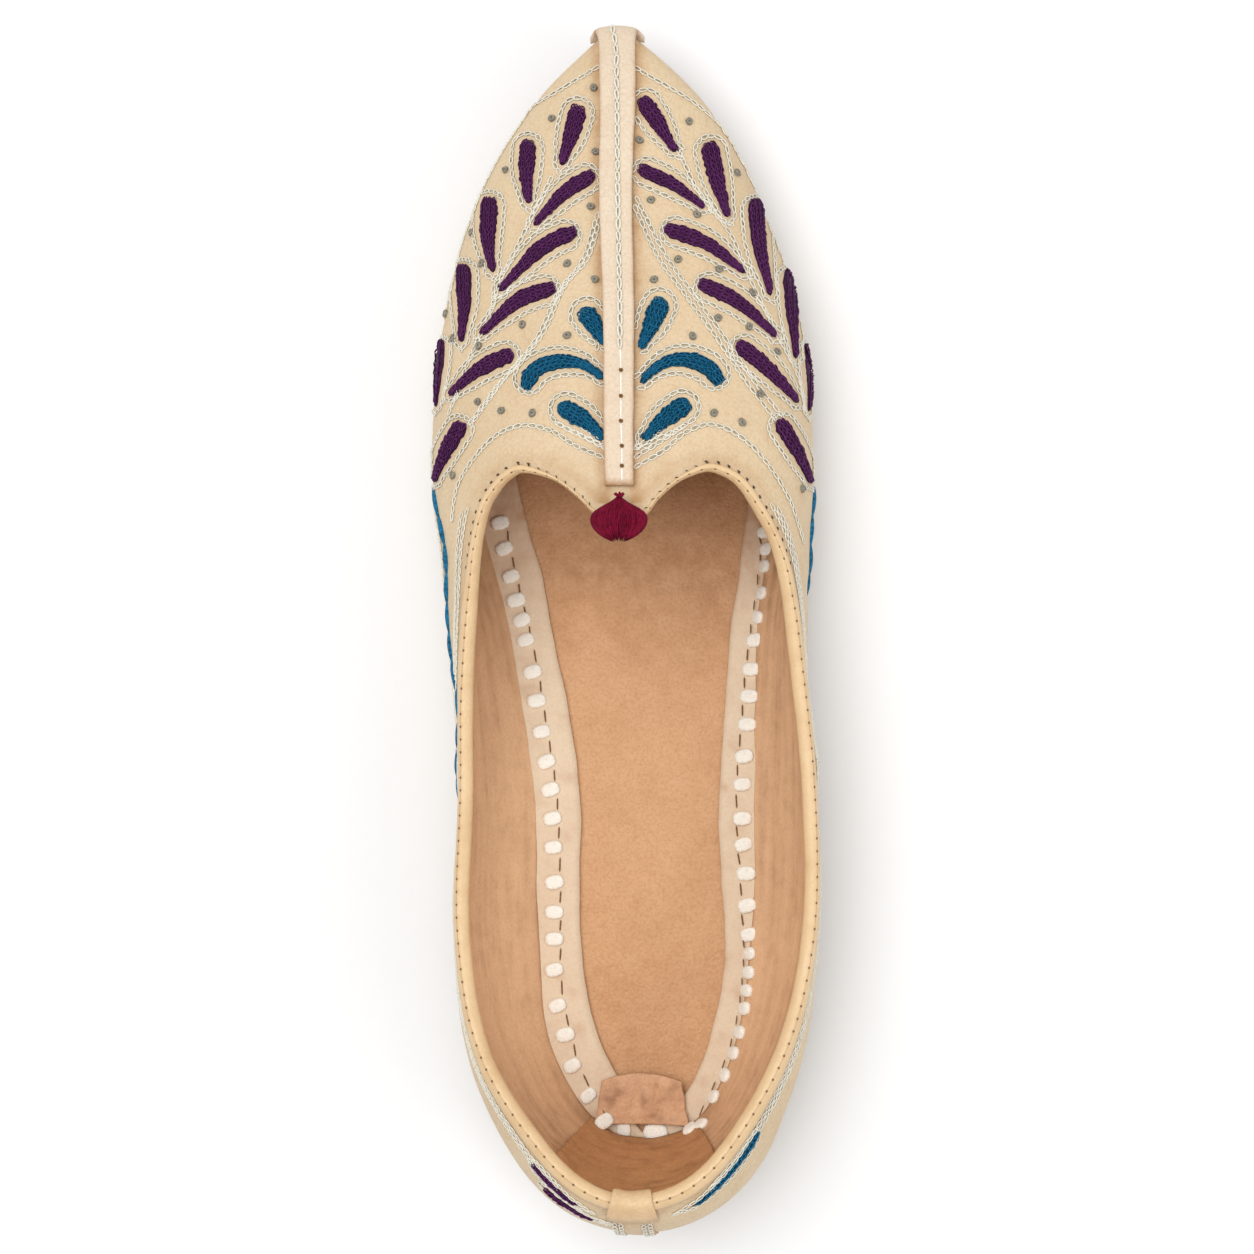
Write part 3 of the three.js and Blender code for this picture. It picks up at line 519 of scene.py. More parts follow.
def lay_cord(bm, run, radius, sides, flat=1.0):
    """A round cord along a run of points and normals, drawn to a point at both ends."""
    count = len(run) - 1
    points = [spot for spot, _ in run]
    length = sum((b - a).length for a, b in zip(points, points[1:]))

    def place(u, w):
        index = round(u * count)
        spot, normal = run[index]
        tangent = (points[min(index + 1, count)] - points[max(index - 1, 0)]).normalized()
        across = tangent.cross(normal).normalized()
        thick = radius(u) if callable(radius) else radius * min(1, 6 * min(u, 1 - u) + 0.001)
        angle = 2 * math.pi * w
        return spot + across * thick * math.cos(angle) + normal * thick * flat * math.sin(angle)

    middle = points[count // 2]
    lay_sheet(bm, count, sides, place, (length, 1), THREAD_SHIFT * (middle.x + middle.y))


def even_run(run, pitch):
    """Points, normals and directions at equal steps along a run."""
    spots = []
    due = 0
    gone = 0
    for (start, normal), (end, _) in zip(run, run[1:]):
        span = (end - start).length
        while span > SMALL and due <= gone + span:
            share = (due - gone) / span
            spots.append((start.lerp(end, share), normal, (end - start).normalized()))
            due += pitch
        gone += span
    return spots


def add_copy(bm, template, place):
    """Adds a small template mesh to a bmesh at a place."""
    piece = template.copy()
    piece.transform(place)
    bm.from_mesh(piece)
    bpy.data.meshes.remove(piece)


def stand(spot, tangent, normal, turn=0.0, size=1.0):
    """The matrix that stands a template on a surface, its length along tangent."""
    across = tangent.cross(normal).normalized()
    ahead = normal.cross(across).normalized()
    place = Matrix((across, ahead, normal.normalized())).transposed().to_4x4()
    place.translation = spot
    return place @ Matrix.Rotation(turn, 4, "Z") @ Matrix.Scale(size, 4)


def link_template(length, width, thread, around=10, sides=4, finish=0):
    """One teardrop link of chain stitch; finish is the number of its material."""
    bm = bmesh.new()

    def place(u, w):
        angle = 2 * math.pi * u
        pinch = 1 - 0.3 * math.sin(angle)
        x = math.cos(angle) * pinch * (width / 2 - thread)
        centre = Vector((x, math.sin(angle) * (length / 2 - thread), 0))
        out = Vector((math.cos(angle), math.sin(angle), 0))
        turn = 2 * math.pi * w
        return centre + out * thread * math.cos(turn) + Vector((0, 0, thread * (1.1 + math.sin(turn))))

    lay_sheet(bm, around, sides, place)
    bmesh.ops.remove_doubles(bm, verts=bm.verts[:], dist=0.001)
    for face in bm.faces:
        face.material_index = finish
    return template_of(bm, "link")


def pillow_template(length, width, height):
    """One thick stitch, swollen in its middle."""
    bm = bmesh.new()
    bmesh.ops.create_uvsphere(bm, u_segments=10, v_segments=7, radius=0.5)
    for vert in bm.verts:
        across, along, up = (math.copysign(abs(2 * value) ** 0.72, value) / 2 for value in vert.co)
        vert.co = Vector((across * width, along * length, up * height))
    layer = map_of(bm)
    for face in bm.faces:
        for loop in face.loops:
            loop[layer].uv = loop.vert.co.xy
    return template_of(bm, "pillow")


def template_of(bm, name):
    bmesh.ops.recalc_face_normals(bm, faces=bm.faces[:])
    for face in bm.faces:
        face.smooth = True
    mesh = bpy.data.meshes.new(name)
    bm.to_mesh(mesh)
    bm.free()
    return mesh


def finish_piece(bm, name, finishes, replaces=(), stain=None, merge=MERGE):
    """Merges a closed piece's doubles, turns its faces outward and seals it."""
    if merge:
        bmesh.ops.remove_doubles(bm, verts=bm.verts[:], dist=merge)
    bmesh.ops.recalc_face_normals(bm, faces=bm.faces[:])
    seal_piece(bm, name, finishes, replaces, stain)


def seal_piece(bm, name, finishes, replaces=(), stain=None):
    """Stores a piece's stains and painted shade, scales it to metres and hands it to the frame."""
    name = name.replace(" ", "_")
    if stain:
        layer = bm.verts.layers.float.new("stain")
        for vert in bm.verts:
            vert[layer] = stain(vert.co)
    for face in bm.faces:
        face.smooth = True
    bmesh.ops.scale(bm, vec=(MM, MM, MM), verts=bm.verts[:])
    mesh = bpy.data.meshes.new(name)
    bm.to_mesh(mesh)
    bm.free()
    obj = bpy.data.objects.new(name, mesh)
    bpy.context.scene.collection.objects.link(obj)
    for finish in finishes:
        mesh.materials.append(finish)
    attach(obj, "root")
    if replaces:
        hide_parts(*replaces)
    return obj


def thicken(obj, thickness, inner=0):
    """Gives a skin its wall, inward from its faces."""
    wall = obj.modifiers.new("Wall", "SOLIDIFY")
    wall.thickness = thickness * MM
    wall.offset = -1
    wall.material_offset = inner
    wall.use_even_offset = True


# Where the photograph's marks lie on the shoe
# A mark's ray leaves the camera's eye and passes through a level chart of the photograph

EYE = Vector((43.7, 100.5, 650))
CHART_HEIGHT = 20
CHART_SCALE = 4.282
CHART_LEFT = 440
CHART_BACK = 1221
STRAP_MIDDLE = 420
TREES = {}


def remember(name, bm):
    """Keeps a piece's surface, so that stitches can be laid on it."""
    TREES[name] = BVHTree.FromBMesh(bm)


def cast(tree, mark, inward_steps=0):
    """The spot and normal that a mark of the photograph shows."""
    across, down = mark
    for _ in range(inward_steps + 1):
        x = (across - CHART_LEFT) / CHART_SCALE
        y = BACK_Y + (CHART_BACK - down) / CHART_SCALE
        chart = Vector((x, y, CHART_HEIGHT))
        ray = (chart - EYE).normalized()
        spot, normal, _, _ = TREES[tree].ray_cast(EYE, ray)
        if spot is not None and normal.dot(ray) < 0:
            return spot, normal
        across += 1 if across < STRAP_MIDDLE else -1
    return None


def curve_marks(marks, pieces=8):
    """A smooth line of marks through the given ones."""
    if len(marks) < 3:
        middle = tuple((a + b) / 2 for a, b in zip(*marks))
        marks = [marks[0], middle, marks[1]]
    before = tuple(2 * a - b for a, b in zip(marks[0], marks[1]))
    after = tuple(2 * a - b for a, b in zip(marks[-1], marks[-2]))
    return smooth_run(marks, before, after, pieces)


def runs_on(tree, marks, dropped=None, inward_steps=0):
    """The runs of spots under a line of marks, broken where it leaves the surface."""
    runs = [[]]
    for mark in marks:
        found = None if dropped and dropped(mark) else cast(tree, mark, inward_steps)
        if found:
            runs[-1].append(found)
        elif runs[-1]:
            runs.append([])
    return [run for run in runs if len(run) > 2]


# Materials


def linear(red, green, blue):
    """A linear colour from the 0 to 255 values seen on a screen."""
    def part(value):
        value /= 255
        return value / 12.92 if value <= 0.04045 else ((value + 0.055) / 1.055) ** 2.4
    return (part(red), part(green), part(blue))


def add_node(tree, kind, inputs=None, **settings):
    made = tree.nodes.new(kind)
    for key, value in settings.items():
        setattr(made, key, value)
    for key, value in (inputs or {}).items():
        if isinstance(value, bpy.types.NodeSocket):
            tree.links.new(value, made.inputs[key])
        else:
            made.inputs[key].default_value = value
    return made


def reckon(tree, operation, *values, clamp=False):
    made = add_node(tree, "ShaderNodeMath", operation=operation, use_clamp=clamp)
    for index, value in enumerate(values):
        if isinstance(value, bpy.types.NodeSocket):
            tree.links.new(value, made.inputs[index])
        else:
            made.inputs[index].default_value = value
    return made.outputs[0]


def mix_colours(tree, share, first, second):
    made = add_node(tree, "ShaderNodeMix", data_type="RGBA")
    for index, value in ((0, share), (6, first), (7, second)):
        if isinstance(value, bpy.types.NodeSocket):
            tree.links.new(value, made.inputs[index])
        else:
            made.inputs[index].default_value = (*value, 1) if isinstance(value, tuple) else value
    return made.outputs[2]


def spread(tree, value, low, high, start=0.0, end=1.0):
    made = add_node(tree, "ShaderNodeMapRange", {"Value": value, "From Min": low, "From Max": high,
                                                 "To Min": start, "To Max": end})
    return made.outputs[0]


def noise_of(tree, vector, scale, detail, rough):
    made = add_node(tree, "ShaderNodeTexNoise", {"Vector": vector, "Scale": scale, "Detail": detail,
                                                 "Roughness": rough})
    return made.outputs["Fac"]


def new_material(name, colour):
    finish = bpy.data.materials.new(name)
    finish.use_nodes = True
    finish.diffuse_color = (*colour, 1)
    tree = finish.node_tree
    return finish, tree, tree.nodes["Principled BSDF"]


def leather(name, colour, deep, roughness=0.5, grain=0.35, pores=900, blotch=0.5, coat=0.0, extra=None):
    """Leather with blotches, pores, fine grain and the stains and painted shade that the piece carries.
    """
    known = bpy.data.materials.get(name)
    if known:
        return known
    finish, tree, shader = new_material(name, colour)
    spot = add_node(tree, "ShaderNodeTexCoord").outputs["Object"]
    broad = noise_of(tree, spot, 26, 4, 0.6)
    fine = noise_of(tree, spot, 210, 5, 0.65)
    paper = noise_of(tree, spot, 1500, 3, 0.6)
    cells = add_node(tree, "ShaderNodeTexVoronoi", {"Vector": spot, "Scale": pores, "Randomness": 1.0},
                     feature="SMOOTH_F1").outputs["Distance"]
    # Each piece's stain map, which also carries its painted shade
    stain = add_node(tree, "ShaderNodeAttribute", attribute_name="stain").outputs["Fac"]
    mottled = mix_colours(tree, spread(tree, broad, 0.35, 0.7, 0, blotch), colour, tuple(
        c * 0.55 + d * 0.45 for c, d in zip(colour, deep)))
    flecked = mix_colours(tree, spread(tree, fine, 0.52, 0.78, 0, 0.45 * blotch), mottled, deep)
    patchy = reckon(tree, "MULTIPLY", stain, spread(tree, fine, 0.3, 0.62, 0.45, 1.15), clamp=True)
    soiled_and_shaded = mix_colours(tree, patchy, flecked, deep)
    soiled_and_shaded = mix_colours(tree, spread(tree, paper, 0.42, 0.66, 0, 0.5 * grain), soiled_and_shaded, deep)
    pitted = reckon(tree, "MULTIPLY", cells, 0.8)
    height = reckon(tree, "ADD", pitted, reckon(tree, "MULTIPLY", paper, 0.7))
    height = reckon(tree, "ADD", height, reckon(tree, "MULTIPLY", fine, 0.9))
    if extra:
        soiled_and_shaded, height = extra(tree, soiled_and_shaded, height)
    bump = add_node(tree, "ShaderNodeBump", {"Height": height, "Strength": grain, "Distance": 0.0004})
    tree.links.new(soiled_and_shaded, shader.inputs["Base Color"])
    tree.links.new(bump.outputs[0], shader.inputs["Normal"])
    worn = spread(tree, fine, 0.3, 0.7, roughness - 0.08, roughness + 0.1)
    tree.links.new(worn, shader.inputs["Roughness"])
    shader.inputs["Coat Weight"].default_value = coat
    shader.inputs["Coat Roughness"].default_value = 0.4
    shader.inputs["Specular IOR Level"].default_value = 0.4
    return finish


def pinholes(period, row, radius):
    """A row of pinholes along a piece whose map is in millimetres."""
    def extra(tree, colour, height):
        place = add_node(tree, "ShaderNodeUVMap", uv_map=MAP_NAME).outputs[0]
        axes = add_node(tree, "ShaderNodeSeparateXYZ", {"Vector": place}).outputs
        along = reckon(tree, "PINGPONG", axes[0], period / 2)
        along = reckon(tree, "SUBTRACT", period / 2, along)
        across = reckon(tree, "SUBTRACT", axes[1], row)
        away = reckon(tree, "SQRT", reckon(tree, "ADD", reckon(tree, "MULTIPLY", along, along),
                                           reckon(tree, "MULTIPLY", across, across)))
        hole = spread(tree, away, radius * 0.6, radius * 1.3, 1, 0)
        dent = spread(tree, away, radius * 0.7, radius * 3.2, -3, 0)
        seam = spread(tree, reckon(tree, "ABSOLUTE", across), 0.05, 0.3, 0.35, 0)
        darker = mix_colours(tree, seam, colour, linear(150, 112, 70))
        darker = mix_colours(tree, hole, darker, linear(104, 74, 46))
        return darker, reckon(tree, "ADD", height, dent)
    return extra


def thread(name, light, dark, stretch, fine, roughness, sheen, bump_depth=0.00025, glint=0.0):
    """Silk or cotton thread: strands that run along the piece's own map."""
    known = bpy.data.materials.get(name)
    if known:
        return known
    finish, tree, shader = new_material(name, light)
    place = add_node(tree, "ShaderNodeUVMap", uv_map=MAP_NAME).outputs[0]
    spot = add_node(tree, "ShaderNodeTexCoord").outputs["Object"]
    drawn = add_node(tree, "ShaderNodeMapping", {"Vector": place, "Scale": stretch}).outputs[0]
    strands = noise_of(tree, drawn, 1.0, 4, 0.62)
    broad = noise_of(tree, spot, 420 * fine, 3, 0.6)
    veins = add_node(tree, "ShaderNodeTexVoronoi", {"Vector": drawn, "Scale": 1.3},
                     feature="DISTANCE_TO_EDGE")
    lines = spread(tree, veins.outputs["Distance"], 0.02, 0.16, 1, 0)
    base = mix_colours(tree, spread(tree, strands, 0.38, 0.66, 0, 1), dark, light)
    base = mix_colours(tree, spread(tree, broad, 0.45, 0.75, 0, 0.55), base, dark)
    # Painted glint: lighter lines along the strands' edges, mixed into the base colour
    if glint:
        base = mix_colours(tree, reckon(tree, "MULTIPLY", lines, glint), base, tuple(
            min(1, value * 2.6 + 0.03) for value in light))
    height = reckon(tree, "ADD", strands, reckon(tree, "MULTIPLY", lines, -0.35))
    bump = add_node(tree, "ShaderNodeBump", {"Height": height, "Strength": 0.7, "Distance": bump_depth})
    tree.links.new(base, shader.inputs["Base Color"])
    tree.links.new(bump.outputs[0], shader.inputs["Normal"])
    shader.inputs["Roughness"].default_value = roughness
    shader.inputs["Sheen Weight"].default_value = sheen
    shader.inputs["Sheen Roughness"].default_value = 0.4
    shader.inputs["Specular IOR Level"].default_value = 0.12
    return finish


# Sizes and colours that a user would change


def colour_choice(name, description, red, green, blue):
    return bpy.props.FloatVectorProperty(
        name=name, description=description, subtype="COLOR", size=3, min=0, max=1,
        default=linear(red, green, blue))


def length_choice(name, description, millimetres):
    return bpy.props.FloatProperty(
        name=name, description=description, unit="LENGTH", min=0.0001, precision=5,
        default=millimetres * MM)


class MojariColours(bpy.types.PropertyGroup):
    ivory: colour_choice("Upper", "Ivory leather of the upper", 214, 192, 158)
    # The upper's darker colour: its blotches and seams, and the painted shade of its stain map
    ivory_deep: colour_choice("Upper shadow", "Darker blotches and seams of the upper", 176, 136, 92)
    rim: colour_choice("Rim", "Cream leather rolled round the opening", 222, 192, 150)
    strap: colour_choice("Toe strap", "Pale grained leather of the toe strap", 219, 203, 180)
    band: colour_choice("Inner band", "Peach leather inside, round the insole", 217, 197, 170)
    lining: colour_choice("Lining", "Tan lining of the upper", 222, 180, 140)
    counter: colour_choice("Counter lining", "Brown lining at the heel", 198, 144, 96)
    pad: colour_choice("Heel pad", "Worn pad at the heel", 216, 168, 128)
    insole: colour_choice("Insole", "Tan insole", 208, 161, 118)
    sole: colour_choice("Sole", "Tan sole leather", 166, 116, 72)
    purple: colour_choice("Purple silk", "Silk of the purple leaves", 92, 34, 92)
    teal: colour_choice("Teal silk", "Silk of the teal leaves", 6, 100, 138)
    silver: colour_choice("Silver thread", "Chain stitch of the borders", 250, 247, 238)
    cotton: colour_choice("White cotton", "Thick stitches of the inner band", 252, 249, 242)
    crimson: colour_choice("Crimson silk", "Threads of the tassel", 140, 4, 50)
    brown: colour_choice("Brown thread", "Whip stitches at the lobes", 96, 62, 38)


class MojariSizes(bpy.types.PropertyGroup):
    link_length: length_choice("Link length", "Length of one link of chain stitch", 2.5)
    link_width: length_choice("Link width", "Width of one link of chain stitch", 1.3)
    link_thread: length_choice("Link thread", "Radius of the silver thread", 0.19)
    link_pitch: length_choice("Link pitch", "Distance from one link to the next", 1.95)
    leaf_height: length_choice("Leaf height", "How far a satin leaf stands up", 0.75)
    knot_size: length_choice("Knot size", "Size of one French knot", 2.1)
    stitch_length: length_choice("Stitch length", "Length of one thick white stitch", 3.2)
    stitch_width: length_choice("Stitch width", "Width of one thick white stitch", 4.3)
    pinhole_pitch: length_choice("Pinhole pitch", "Distance between the rim's pinholes", 2.9)
    whip_pitch: length_choice("Whip pitch", "Distance between the lobes' whip stitches", 2.1)
    strand_count: bpy.props.IntProperty(
        name="Strands", description="Number of threads in each layer of the tassel",
        default=130, min=10, max=300)


def colour_of(name):
    return tuple(getattr(bpy.context.scene.mojari_colours, name))


def size_of(name):
    return getattr(bpy.context.scene.mojari_sizes, name) / MM


def ivory_leather():
    return leather("ivory leather", colour_of("ivory"), colour_of("ivory_deep"), 0.55, 0.5, 1100, 0.4)


def lining_leather():
    return leather("tan lining", colour_of("lining"), linear(146, 102, 66), 0.7, 0.3, 700, 0.5)


PINHOLE_ROW = 2.85
PINHOLE_RADIUS = 0.3


def rim_leather():
    holes = pinholes(size_of("pinhole_pitch"), PINHOLE_ROW, PINHOLE_RADIUS)
    return leather("cream rim", colour_of("rim"), linear(190, 148, 98), 0.45, 0.22, 1300, 0.35,
                   0.1, holes)


def silver_thread():
    return thread("silver thread", colour_of("silver"), linear(226, 218, 198), (3, 3, 1), 3.0, 0.4, 0.2)


def grey_core():
    return thread("grey core", linear(210, 196, 166), linear(170, 154, 122), (2, 2, 1), 2.0, 0.7, 0.0)


# The upper

SIDE_ROWS = 26
TOP_ROWS = 15
VAMP_COLUMNS = 80


def rim_places(side):
    """The opening's edge on one side, from the back centre round the lobe to the tongue's tip."""
    return [(side, station, girth) for station, girth in [*collar_run(side), *tongue_run(side)[1:]]]


def strap_half_width(way):
    return 0.5 * (
        follow(STRAP_WIDTHS, 1, way) * STRAP_END_WIDTH
        + follow(STRAP_WIDTHS, 2, way) * STRAP_TOE_WIDTH
        + follow(STRAP_WIDTHS, 3, way) * STRAP_FOOT_WIDTH
    )


def beside_strap(spot, along):
    """How far a spot lies beyond the strap's edge."""
    way = (along - STRAP_FROM) / (1 - STRAP_FROM) * NOSE_WAY
    return abs(spot.x - ridge(station_of(along), 0).x) - strap_half_width(way)


def face_toward(bm, target, away=False):
    """Turns an open skin's faces toward a point, or away from it."""
    bm.normal_update()
    total = 0
    for face in bm.faces:
        total += face.normal.dot(target - face.calc_center_median()) * face.calc_area()
    if (total < 0) != away:
        bmesh.ops.reverse_faces(bm, faces=bm.faces[:])


def build_upper():
    bm = bmesh.new()
    for side in (LEFT, RIGHT):
        run = collar_run(side)
        front = run[-1]
        vamp = [(station, front[1]) for station in steps(front[0], 1, VAMP_COLUMNS)[1:]]
        edge = [*run, *vamp]

        def side_place(u, w):
            station, girth = edge[round(u * (len(edge) - 1))]
            return surface(side, station, w * girth, -relief(side, station, w * girth))

        lay_sheet(bm, len(edge) - 1, SIDE_ROWS, side_place)
    halves = {side: tongue_run(side)[::-1] for side in (LEFT, RIGHT)}
    length = len(halves[LEFT]) + VAMP_COLUMNS
    stations = [*(station for station, _ in halves[LEFT]), *(station for station, _ in vamp)]

    def top_place(u, w):
        index = round(u * (length - 1))
        side = LEFT if w <= 0.5 else RIGHT
        edge_girth = halves[side][min(index, len(halves[side]) - 1)][1]
        girth = edge_girth + (1 - edge_girth) * (1 - abs(2 * w - 1))
        return surface(side, stations[index], girth, -relief(side, stations[index], girth))

    lay_sheet(bm, length - 1, 2 * TOP_ROWS, top_place)
    bmesh.ops.remove_doubles(bm, verts=bm.verts[:], dist=0.003)
    bmesh.ops.recalc_face_normals(bm, faces=bm.faces[:])
    face_toward(bm, Vector((0, 90, 15)), away=True)
    remember("upper", bm)
    rims = [surface(*place) for side in (LEFT, RIGHT) for place in rim_places(side)[::3]]

    def stain(spot):
        along = way_at(spot.y)
        # Dark seam line with painted shade beside the raised strap; darker toward the wall's foot and in
        # a band just below the rim
        seam = 0
        if along > STRAP_FROM:
            seam = 0.75 * math.exp(-((beside_strap(spot, along) - 0.2) / 1.5) ** 2)
        low = 0.5 * math.exp(-(((spot.z - seat_at(spot.y)) / 3) ** 2))
        near = min((spot - rim).length for rim in rims)
        return min(1, seam + low + 0.4 * math.exp(-(((near - 2.8) / 1.6) ** 2)))

    finishes = [ivory_leather(), lining_leather()]
    obj = seal_piece(bm, "Upper", finishes, ("upper",), stain=stain)
    thicken(obj, WALL, inner=1)


# Sole, heel lift and insole

SOLE_END = 0.006
SOLE_COLUMNS = 150
LIFT_COLUMNS = 60
INSOLE_ENDS = (0.04, 0.93)
INSOLE_COLUMNS = 150
INSOLE_ROWS = 40


def sole_ring(station, edge_at, profile, across=10):
    """One section of a sole: its left edge, underside, right edge and top."""
    sides = []
    for side in (LEFT, RIGHT):
        spots = [(edge_at(side, station, inset), height) for inset, height in profile]
        sides.append([Vector((spot.x, spot.y, height(spot.y))) for spot, height in spots])
    left, right = sides
    under = [left[-1].lerp(right[-1], share) for share in steps(0, 1, across)[1:-1]]
    over = [right[0].lerp(left[0], share) for share in steps(0, 1, across)[1:-1]]
    return [*left, *under, *reversed(right), *over]


def layered(top, bottom, inset, grooves, depth=0.28):
    """An edge profile of stacked layers, as insets and heights, from top to bottom."""
    rows = [
        (inset + 0.7, top),
        (inset + 0.2, lambda y: top(y) - 0.15),
        (inset, lambda y: top(y) - 0.5),
    ]

    def height_at(share, shift):
        return lambda y: top(y) + (bottom(y) - top(y)) * share + shift

    for share in grooves:
        rows += [
            (inset, height_at(share, 0.22)),
            (inset + depth, height_at(share, 0)),
            (inset, height_at(share, -0.22)),
        ]
    rows += [
        (inset, lambda y: bottom(y) + 0.6),
        (inset + 0.25, lambda y: bottom(y) + 0.2),
        (inset + 0.8, bottom),
    ]
    return rows


def sole_leather():
    return leather("sole leather", colour_of("sole"), linear(92, 56, 30), 0.6, 0.45, 500, 0.9)


def sole_edge_stain(spot):
    return 0.35 + 0.4 * noise.noise(spot / 9)


def build_sole():
    def edge_at(side, station, inset):
        way = along_of(station) * SHOE_LENGTH
        worn = 0.18 * noise.noise(Vector((way / 8, side * 3, 0)))
        return foot_line(side, station, inset - SOLE_MARGIN + worn)

    bm = bmesh.new()
    profile = layered(sole_top_at, underside_at, 0, (0.5,))
    stations = steps(SOLE_END, 1 - SOLE_END, SOLE_COLUMNS)
    lay_rings(bm, [sole_ring(station, edge_at, profile) for station in stations], (300, 40))
    close_ends(bm)
    finish_piece(bm, "Outsole", [sole_leather()], ("outsole",), stain=sole_edge_stain)

    def lift_edge_at(side, station, inset):
        spot = edge_at(side, station, inset)
        return Vector((spot.x, min(spot.y, BACK_Y + HEEL_LENGTH)))

    bm = bmesh.new()
    profile = layered(lambda y: HEEL_HEIGHT, lambda y: 0, 0.3, (0.36, 0.68))
    stations = steps(SOLE_END, station_of(HEEL_LENGTH / SHOE_LENGTH), LIFT_COLUMNS)
    lay_rings(bm, [sole_ring(station, lift_edge_at, profile) for station in stations], (70, 40))
    close_ends(bm)
    finish_piece(bm, "Heel lift", [sole_leather()], ("heel_lift",), stain=sole_edge_stain)


def wall_foot(station):
    slope = LOW_POWER * section(station, TUCK) * SIDE_TUCK / (section(station, BULGE) * SIDE_BULGE)
    return WALL * math.hypot(1, slope)


def build_insole():
    bm = bmesh.new()
    stations = steps(*INSOLE_ENDS, INSOLE_COLUMNS)

    def place(u, w):
        station = stations[round(u * INSOLE_COLUMNS)]
        inset = wall_foot(station) + CLEARANCE
        left = foot_line(LEFT, station, inset)
        spot = left.lerp(foot_line(RIGHT, station, inset), w)
        rim = min(w, 1 - w) * 2
        wave = 0.16 * noise.noise(Vector((spot.x / 13, spot.y / 17, 2)))
        dish = -0.25 * math.sin(math.pi * w) * ease(u, 0.02, 0.15) * ease(1 - u, 0.05, 0.4)
        level = seat_at(spot.y) + INSOLE_THICKNESS
        return Vector((spot.x, spot.y, level + (wave + dish) * min(1, rim * 5)))

    lay_sheet(bm, INSOLE_COLUMNS, INSOLE_ROWS, place)
    face_toward(bm, Vector((0, 90, 500)))

    def stain(spot):
        # Painted shade toward the front, under the vamp; darker round the heel and in random blotches
        shade_under_vamp = ease(spot.y, 84, 118)
        heel = 0.2 * math.exp(-((spot.x / 17) ** 2) - ((spot.y + 4) / 22) ** 2)
        return 0.05 + 0.3 * shade_under_vamp + heel + 0.1 * noise.noise(spot / 12)

    finish = leather("insole leather", colour_of("insole"), linear(146, 92, 50), 0.62, 0.5, 1400, 0.2)
    obj = seal_piece(bm, "Insole", [finish], ("insole",), stain=stain)
    thicken(obj, INSOLE_THICKNESS)


# Inner band, heel pad and linings

BAND_END = 0.68
BAND_COLUMNS = 170
FLOOR_RISE = INSOLE_THICKNESS + CLEARANCE


def wall_at(station, rise):
    """How far inside the foot line the wall's inner face stands at a rise above the seat."""
    deep = section(station, BULGE) * SIDE_BULGE
    tuck = section(station, TUCK) * SIDE_TUCK
    fall = 1 - rise / deep
    slope = LOW_POWER * tuck * fall ** (LOW_POWER - 1) / deep
    return tuck * (fall**LOW_POWER - 1) + WALL * math.hypot(1, slope) + 2 * CLEARANCE


def band_ring(side, station):
    """One section of the band: along the floor, up the wall and back over its top."""
    width = BAND_WIDTH * follow(BAND_WIDTHS, column_of(side), station)
    way = along_of(station) * SHOE_LENGTH
    pucker = noise.noise(Vector((way / 9, side * 5, 3)))
    gather = noise.noise(Vector((way / 4, side * 9, 6)))
    width += 0.3 * pucker + 0.1 * gather
    low = wall_at(station, FLOOR_RISE)
    high = wall_at(station, FLOOR_RISE + BAND_LAP)
    top = BAND_THICKNESS
    swell = 0.12 * pucker + 0.06 * gather
    profile = [
        (low + width, 0),
        (low + width * 0.3, 0.2),
        (high + 0.5, BAND_LAP),
        (wall_at(station, FLOOR_RISE + BAND_LAP + top) + 0.4, BAND_LAP + top),
        (high + 0.9, BAND_LAP + top - 0.2),
        (high + top + 1.5, BAND_LAP * 0.5 + top),
        (low + width * 0.3, 0.45 + top + swell * 0.4),
        (low + width * 0.45, 0.12 + top + swell * 0.6),
        (low + width * 0.6, 0.1 + top - swell * 0.3),
        (low + width * 0.76, 0.12 + top + swell * 0.8),
        (low + width * 0.9, top + 0.02 + swell),
        (low + width + 0.1, top * 0.8 + swell * 0.5),
        (low + width + 0.18, top * 0.4),
    ]
    ring = []
    for inset, rise in profile:
        spot = foot_line(side, station, inset)
        ring.append(Vector((spot.x, spot.y, seat_at(spot.y) + FLOOR_RISE + rise)))
    return ring


def build_band():
    bm = bmesh.new()
    rings = [band_ring(LEFT, station) for station in steps(BAND_END, 0, BAND_COLUMNS)]
    rings += [band_ring(RIGHT, station) for station in steps(0, BAND_END, BAND_COLUMNS)[1:]]
    lay_rings(bm, rings, (400, 30))
    close_ends(bm)
    bmesh.ops.recalc_face_normals(bm, faces=bm.faces[:])
    remember("band", bm)

    def stain(spot):
        dents = max(0, noise.noise(spot / 4.2) - 0.25) * 0.9
        # Darker dents and blotches, with painted shade toward the front, under the vamp
        return min(1, 0.03 + dents + 0.45 * ease(spot.y, 96, 128) + 0.12 * max(0, noise.noise(spot / 15)))

    finish = leather("peach leather", colour_of("band"), linear(176, 128, 92), 0.6, 0.25, 1000, 0.25)
    finish_piece(bm, "Inner band", [finish], ("inner_band",), stain=stain)


